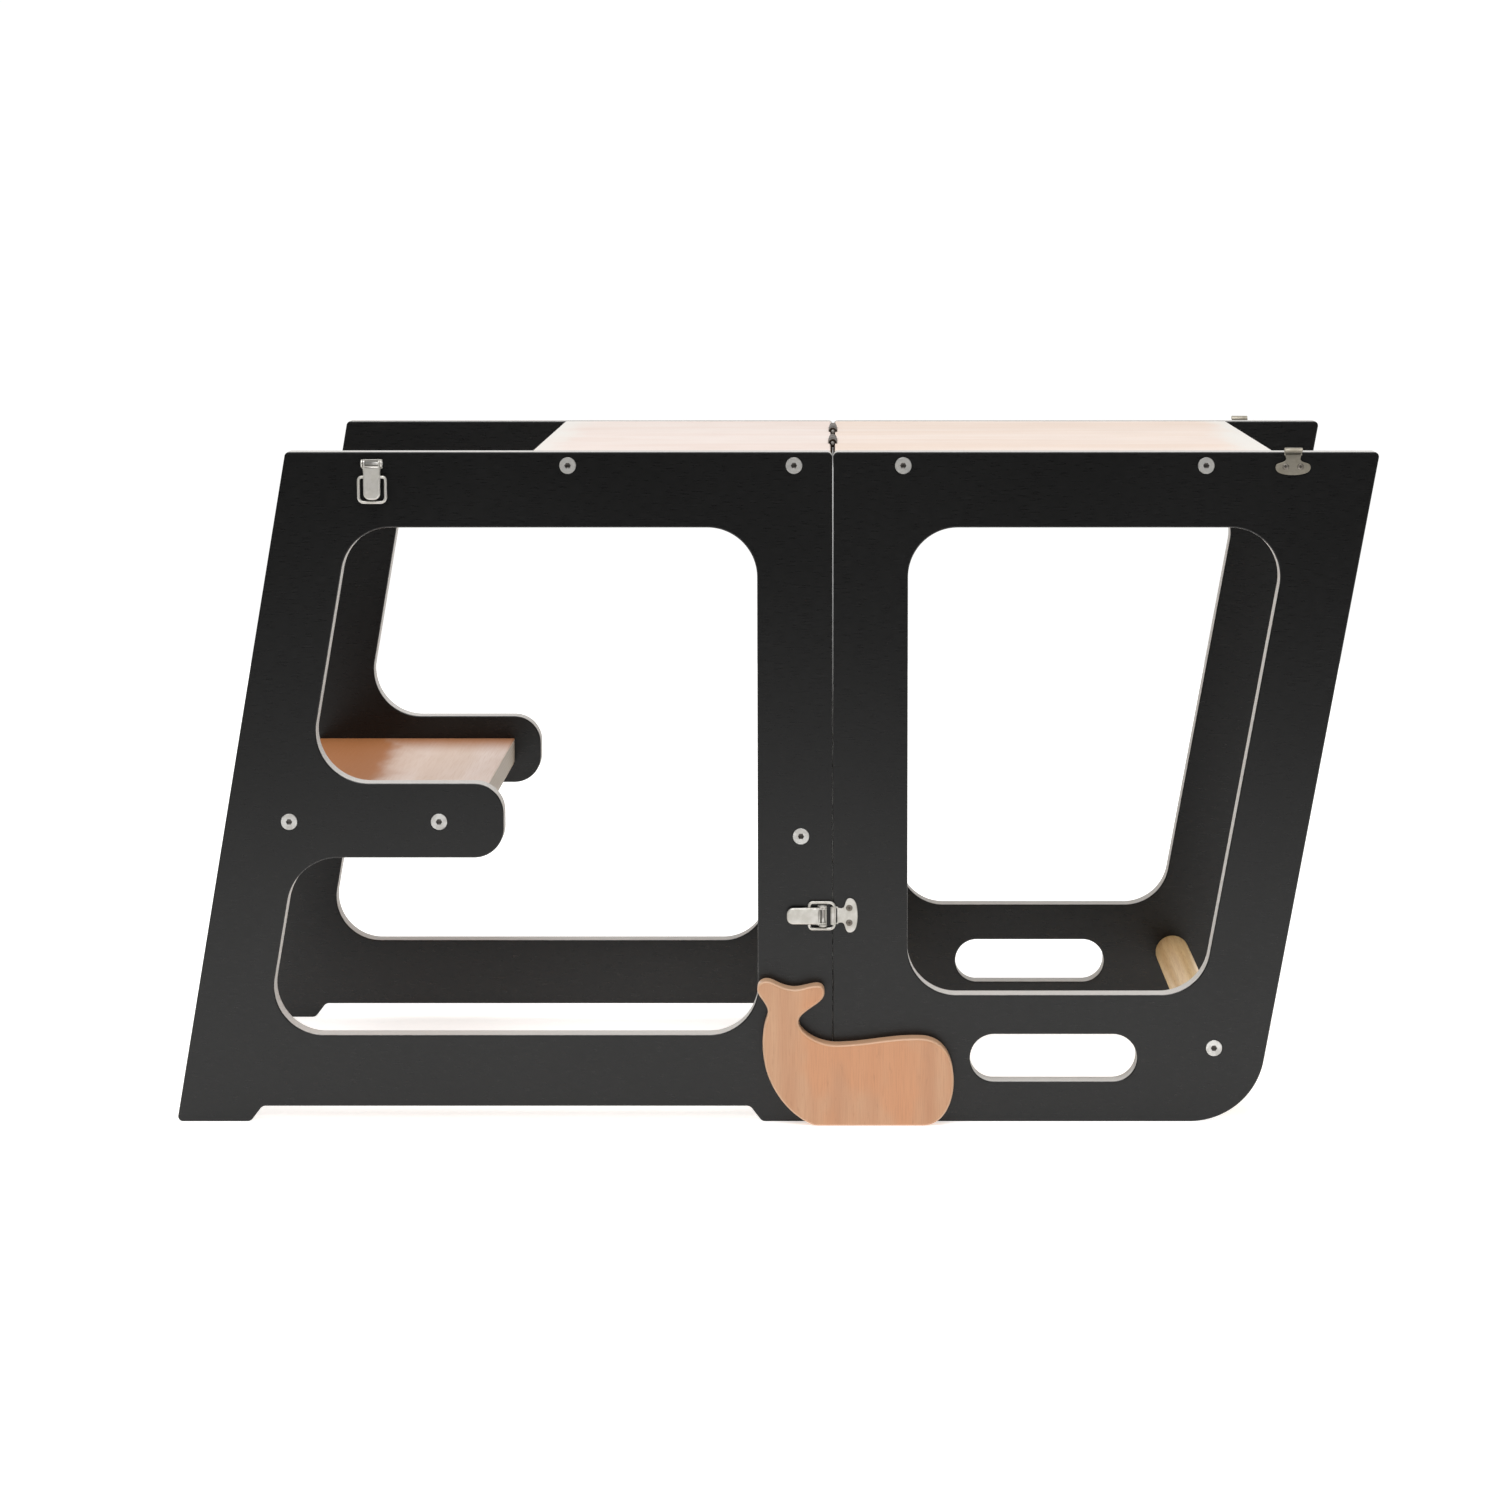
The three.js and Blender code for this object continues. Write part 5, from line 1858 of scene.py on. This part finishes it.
    def bail_surface(self) -> Surface:
        """The wire loop about its own pivot. At the front it is folded back round the lever.

        Returns:
            The closed surface.
        """
        back, height, reach, half = self.bail
        turned_in = self.lever[1] / 2 - self.lever[2] - 0.3
        root, tip = self.bail_bends
        near = [(0.0, -turned_in, 0.0), (0.0, -half, root), (reach, -half, tip)]
        way = 1.0 if self.place is LatchPlace.SEAM else -1.0
        folded = ((way, 0.0, 0.0), Y_AXIS, (0.0, 0.0, way))
        return self.lay(wire(mirrored(near), self.wire), (-back, 0.0, height), folded)

    def pin_surface(self) -> Surface:
        """The pin, with a domed rivet head outside each ear.

        Returns:
            The closed surface.
        """
        radius, head = self.pin
        near = [(-1.3, 0.0), (-0.75, 0.06), (-0.3, 0.2), (0.0, 0.45), (0.0, head), (-0.6, head + 0.01)]
        start = self.ear_span[1] + head
        far = [(offset, 2 * start - depth) for offset, depth in reversed(near)]
        rod = carved(Rim(ring(radius, steps=28), creased_profile(*near, *far)))
        return self.lay(rod, (0.0, -start, self.pivot), ON_EDGE)

    def build(self, finishes: Finishes) -> list[Piece]:
        """Makes the plate, its screws, the pin, the lever and the bail.

        Args:
            finishes: The finishes.

        Returns:
            The pieces.
        """
        where, label = self.place.value, self.side.label
        name, node = f"{where}_catch_{{}}_{label}".format, f"{where}_latch_{{}}_{label}".format
        nickel, zinc, base = finishes.nickel, finishes.zinc, Body.BASE.value
        screws = self.screw_heads(self.screw, self.plate[2], self.screw_spots)
        return [
            add_piece(name("plate"), self.plate_surfaces(), nickel, base, node("plate")),
            add_piece(name("screws"), screws, zinc, base),
            add_piece(name("pin"), self.pin_surface(), zinc, base, node("pin")),
            add_piece(name("lever"), self.lever_surfaces(), nickel, f"{where}_lever_{label}", node("lever")),
            add_piece(name("bail"), self.bail_surface(), nickel, f"{where}_bail_{label}", node("bail")),
        ]


@dataclass(frozen=True)
class Keeper(LatchPart):
    """The plate that a bail hooks on to: an oval head with two screws, a neck, and a curled lip.

    Attributes:
        start: u of the lip, and of the middle of the bail's wire.
        sheet: The sheet's thickness.
        rim: The radius along its edges and along its holes'.
        wire_height: w of the bail's wire.
        lip_width: The lip's width.
        lip_heel: How far its strip starts behind the wire.
        lip_turn: Where its arc about the wire starts and ends, in degrees.
        screw: The screws' heads.
        screw_spots: u and v of the two screws.
        hole: The radius of a screw's hole.
        flank: The outline of one half, as u and v, from the lip to the tip of the head.
        softening: The finished outline's spacing, and how many times it is softened.
    """

    start: Spot = (5.2, 7.7)
    sheet: float = 1.2
    rim: Spot = (0.25, 0.12)
    wire_height: float = 2.7
    lip_width: float = 11.8
    lip_heel: float = 1.9
    lip_turn: Spot = (270.0, 112.0)
    screw: DomedScrew = DomedScrew(2.05, 0.45, 0.12)
    screw_spots: tuple[Spot, ...] = ((17.6, -5.0), (17.6, 5.0))
    hole: float = 2.2
    flank: tuple[Spot, ...] = (
        (8.6, 5.4), (9.6, 5.4), (10.8, 5.0), (12.0, 4.7), (13.2, 4.8), (14.2, 5.8), (14.9, 7.8), (15.4, 9.8),
        (16.5, 11.4), (18.3, 11.7), (20.1, 11.1), (21.4, 9.8), (22.3, 7.6), (22.9, 4.6), (23.15, 1.6),
        (23.15, 0.0),
    )
    softening: tuple[float, int] = (0.3, 10)

    def axes(self) -> Placement:
        """The axes of the latch that holds this keeper.

        Returns:
            The axes, with w from the keeper's inner face.
        """
        along = self.along(DOWN)
        low, high = node_box(f"{self.place.value}_keeper_{self.side.label}")
        near = low if along.sum() > 0 else high
        origin = (low + high) / 2 * (1 - np.abs(along)) + near * np.abs(along) - along * self.start[0]
        origin[1] = (low if self.side is Side.LEFT else high)[1]
        return self.axes_at(origin, along)

    def plate_surface(self) -> Surface:
        """The waisted neck and the oval head, with two screw holes.

        Returns:
            The closed surface.
        """
        side = np.array(self.flank)
        loop = smooth_loop(np.vstack([(side * [1, -1]), side[::-1]]), *self.softening)
        edge, hole_edge = self.rim
        section = rounded_profile(self.sheet, hole_edge, 2)
        holes = [Rim(ring(self.hole, spot, steps=32, hole=True), section) for spot in self.screw_spots]
        return self.lay(slab(loop, self.sheet, edge, holes, steps=3), ORIGIN, OUTWARDS)

    def lip_surface(self) -> Surface:
        """The curled lip: a strip that leaves the neck and goes round the wire.

        Its middle line is straight along the neck and then an arc about the wire. The outline lies half the
        sheet to each side of it, with a half circle at each end.

        Returns:
            The closed surface.
        """
        half, wire_u = self.sheet / 2, self.start[1]
        radius = self.wire_height - half
        angle = np.radians(np.linspace(*self.lip_turn, 24))
        radial = np.column_stack([np.cos(angle), np.sin(angle)])
        line = np.vstack([[wire_u + self.lip_heel, half], [wire_u, self.wire_height] + radius * radial])
        away = np.vstack([[0.0, -1.0], radial])
        turn = np.radians(np.linspace(0.0, 180.0, 7))[1:-1, None]
        last_way = np.array([math.sin(angle[-1]), -math.cos(angle[-1])])
        tip = np.cos(turn) * away[-1] + np.sin(turn) * last_way
        heel = -np.cos(turn) * away[0] + np.sin(turn) * np.array([1.0, 0.0])
        normals = np.vstack([away, tip, -away[::-1], heel])
        ends = [np.tile(line[end], (len(tip), 1)) for end in (-1, 0)]
        spine = np.vstack([line, ends[0], line[::-1], ends[1]])
        loop = Loop((spine + half * normals)[::-1], normals[::-1])
        strip = slab(loop, self.lip_width, self.rim[0], steps=3)
        return self.lay(strip, (0.0, -self.lip_width / 2, 0.0), ON_EDGE)

    def build(self, finishes: Finishes) -> list[Piece]:
        """Makes the keeper and its screws.

        Args:
            finishes: The finishes.

        Returns:
            The pieces.
        """
        where, label, body = self.place.value, self.side.label, Body.UPPER.value
        # The front keeper gets the darker copy of the nickel: painted shade.
        plating = finishes.nickel if self.place is LatchPlace.SEAM else finishes.dull_nickel
        plates = [self.plate_surface(), self.lip_surface()]
        screws = self.screw_heads(self.screw, self.sheet, self.screw_spots)
        return [
            add_piece(f"{where}_strike_{label}", plates, plating, body, f"{where}_keeper_{label}"),
            # The keepers' screws get the darker copy of the zinc: painted shade.
            add_piece(f"{where}_strike_screws_{label}", screws, finishes.dull_zinc, body),
        ]


# Assemblies


@dataclass(frozen=True)
class SideAssembly:
    """All that one side of the tower carries."""

    side: Side

    def build(self, finishes: Finishes) -> list[Piece]:
        """Makes the side's panels, screws, whale foot, hinge, latches and keepers.

        Args:
            finishes: The finishes.

        Returns:
            The pieces.
        """
        outward, label = float(self.side.value), self.side.label
        pieces = []
        for body, panel in ((Body.BASE, BasePanel), (Body.UPPER, UpperPanel)):
            board = panel(f"{body.half}_side_panel_{label}", body, self.side)
            pieces.append(board.build(f"black_{body.half}_panel_{label}", finishes.black_ply))
        screws = [Screw(node, body, -outward) for body in Body for node in long_screw_nodes(body, self.side)]
        screws += [Screw(f"screw_whale_{spot}_{label}", Body.BASE, outward) for spot in ("tail", "belly")]
        for screw in screws:
            pieces.append(screw.build(screw.node.replace("screw_", "socket_screw_"), finishes.zinc))
        foot = WhaleFoot(f"whale_foot_{label}", Body.BASE, self.side)
        pieces.append(foot.build(f"beech_whale_{label}", finishes.whale))
        pieces += SeamHinge(self.side).build(finishes)
        for place in LatchPlace:
            pieces += ToggleLatch(place, self.side).build(finishes)
            pieces += Keeper(place, self.side).build(finishes)
        return pieces


class CrossMembers:
    """The boards and rails that run from one side to the other."""

    def build(self, finishes: Finishes) -> list[Piece]:
        """Makes the tabletops, the seat board and the rails.

        Args:
            finishes: The finishes.

        Returns:
            The pieces.
        """
        return [
            Board("base_tabletop", Body.BASE, seam_end=1).build("birch_base_top", finishes.base_top),
            Board("upper_tabletop", Body.UPPER, seam_end=-1).build("birch_upper_top", finishes.upper_top),
            Board("seat_board", Body.BASE).build("birch_seat", finishes.seat),
            Rod("base_cross_rail", Body.BASE).build("dowel_base", finishes.dowel),
            Rod("upper_back_rail", Body.UPPER).build("dowel_upper_back", finishes.dowel),
            Rod("upper_front_rail", Body.UPPER).build("dowel_upper_front", finishes.dowel),
        ]


# Studio


@dataclass(frozen=True)
class Lamp:
    """A square soft lamp.

    Attributes:
        name: The lamp's name.
        place: Where it hangs.
        size: Its width.
        power: Its power in watts.
        target: What it faces.
    """

    name: str
    place: Axis
    size: float
    power: float
    target: Axis = (0.0, 0.0, 0.2)

    def build(self) -> None:
        """Hangs the lamp."""
        data = bpy.data.lights.new(self.name, "AREA")
        data.shape = "SQUARE"
        data.size = self.size
        data.energy = self.power
        lamp = bpy.data.objects.new(self.name, data)
        lamp.location = self.place
        way = Vector(self.target) - Vector(self.place)
        lamp.rotation_euler = way.to_track_quat("-Z", "Y").to_euler()
        bpy.context.collection.objects.link(lamp)


@dataclass(frozen=True)
class Studio:
    """The camera, the floor and the lights.

    Attributes:
        camera: Where the camera stands, in metres in the frame.
        pitch: How far it looks down.
        focal: Its focal length over the width of the picture.
        centre: How far the lens's axis is to the right of the picture's middle, over its width.
        floor_tones: The floor's two tones.
        floor_size: Its width in metres.
        floor_glow: How much light it gives off by itself, as a lit table does.
        floor_middle: X and Y of its middle.
        surround: The surround's colour, and its light as the camera sees it.
        glows: Where its light comes up: the axis of a direction, the start and end, and the light there.
        lamps: The lamps.
    """

    camera: Axis = (0.0426736, -3.1897, 0.6289)
    pitch: float = math.radians(7.19)
    focal: float = 4527.9 / 1500
    centre: float = (837.1 - 750.0) / 1500
    floor_tones: tuple[str, str] = ("#f6f5f3", "#f1f0ee")
    floor_size: float = 4.4
    floor_glow: float = 0.55
    floor_middle: Spot = (0.0, 0.5)
    surround: tuple[Axis, float] = ((1.0, 0.996, 0.99), 1.05)
    glows: tuple[tuple[str, float, float, float, float], ...] = (
        ("Y", 0.0, 0.6, 0.03, 0.95),
        ("Z", 0.3, 0.7, 0.02, 0.8),
    )
    lamps: tuple[Lamp, ...] = (
        Lamp("key_softbox", (-0.2, -1.7, 2.9), 2.2, 60.0),
        Lamp("overhead_softbox", (0.3, 0.6, 2.8), 2.4, 6.0),
    )

    def add_camera(self) -> None:
        """A camera that stands and looks as the photograph's did."""
        data = bpy.data.cameras.new("studio_camera")
        data.sensor_width = 36.0
        data.lens = self.focal * data.sensor_width
        data.shift_x = -self.centre
        camera = bpy.data.objects.new("studio_camera", data)
        camera.location = self.camera
        camera.rotation_euler = (QUARTER_TURN - self.pitch, 0.0, 0.0)
        bpy.context.collection.objects.link(camera)
        bpy.context.scene.camera = camera

    def add_floor(self) -> None:
        """A plain pale floor that is lit a little from below."""
        half = self.floor_size / 2
        x, y = self.floor_middle
        corners = [(x + half * i, y + half * j, 0.0) for i, j in ((-1, -1), (1, -1), (1, 1), (-1, 1))]
        mesh = bpy.data.meshes.new("studio_floor")
        mesh.from_pydata(corners, [], [(0, 1, 2, 3)])
        nodes = MaterialNodes("studio_paper")
        tone = nodes.spread(nodes.noise(0.8), 0.3, 0.7)
        nodes.set("Base Color", nodes.mix(tone, *self.floor_tones))
        nodes.set("Roughness", 0.85)
        nodes.set("Specular IOR Level", 0.2)
        nodes.set("Emission Color", "#ffffff")
        nodes.set("Emission Strength", self.floor_glow)
        mesh.materials.append(nodes.material)
        floor = bpy.data.objects.new("studio_floor", mesh)
        bpy.context.collection.objects.link(floor)

    def add_surround(self) -> None:
        """An even white surround to look at, whose light comes mostly from above and behind."""
        colour, seen_light = self.surround
        world = bpy.data.worlds.new("studio_surround")
        world.use_nodes = True
        nodes = Nodes(world.node_tree)
        background = nodes.tree.nodes["Background"]
        nodes.feed(background.inputs["Color"], (*colour, 1.0))
        split = nodes.tree.nodes.new("ShaderNodeSeparateXYZ")
        nodes.feed(split.inputs["Vector"], nodes.add("TexCoord", {}, "Generated"))
        glows = [nodes.spread(split.outputs[name], *amounts) for name, *amounts in self.glows]
        camera_ray = nodes.add("LightPath", {}, "Is Camera Ray")
        strength = nodes.mix(camera_ray, nodes.math("MAXIMUM", *glows), seen_light, kind="FLOAT")
        nodes.feed(background.inputs["Strength"], strength)
        bpy.context.scene.world = world

    def build(self) -> None:
        """Sets up the studio."""
        self.add_camera()
        self.add_floor()
        self.add_surround()
        for lamp in self.lamps:
            lamp.build()
        scene = bpy.context.scene
        scene.view_settings.view_transform = "Standard"
        scene.view_settings.look = "None"


def main() -> None:
    """Builds the studio and the tower, and reports each piece."""
    logging.basicConfig(level=logging.INFO, format="%(name)s: %(message)s")
    Studio().build()
    finishes = Finishes()
    assemblies = [CrossMembers(), *(SideAssembly(side) for side in Side)]
    for assembly in assemblies:
        for piece in assembly.build(finishes):
            log.info("%s: %d faces", piece.name, len(piece.data.polygons))


if __name__ == "__main__":
    main()
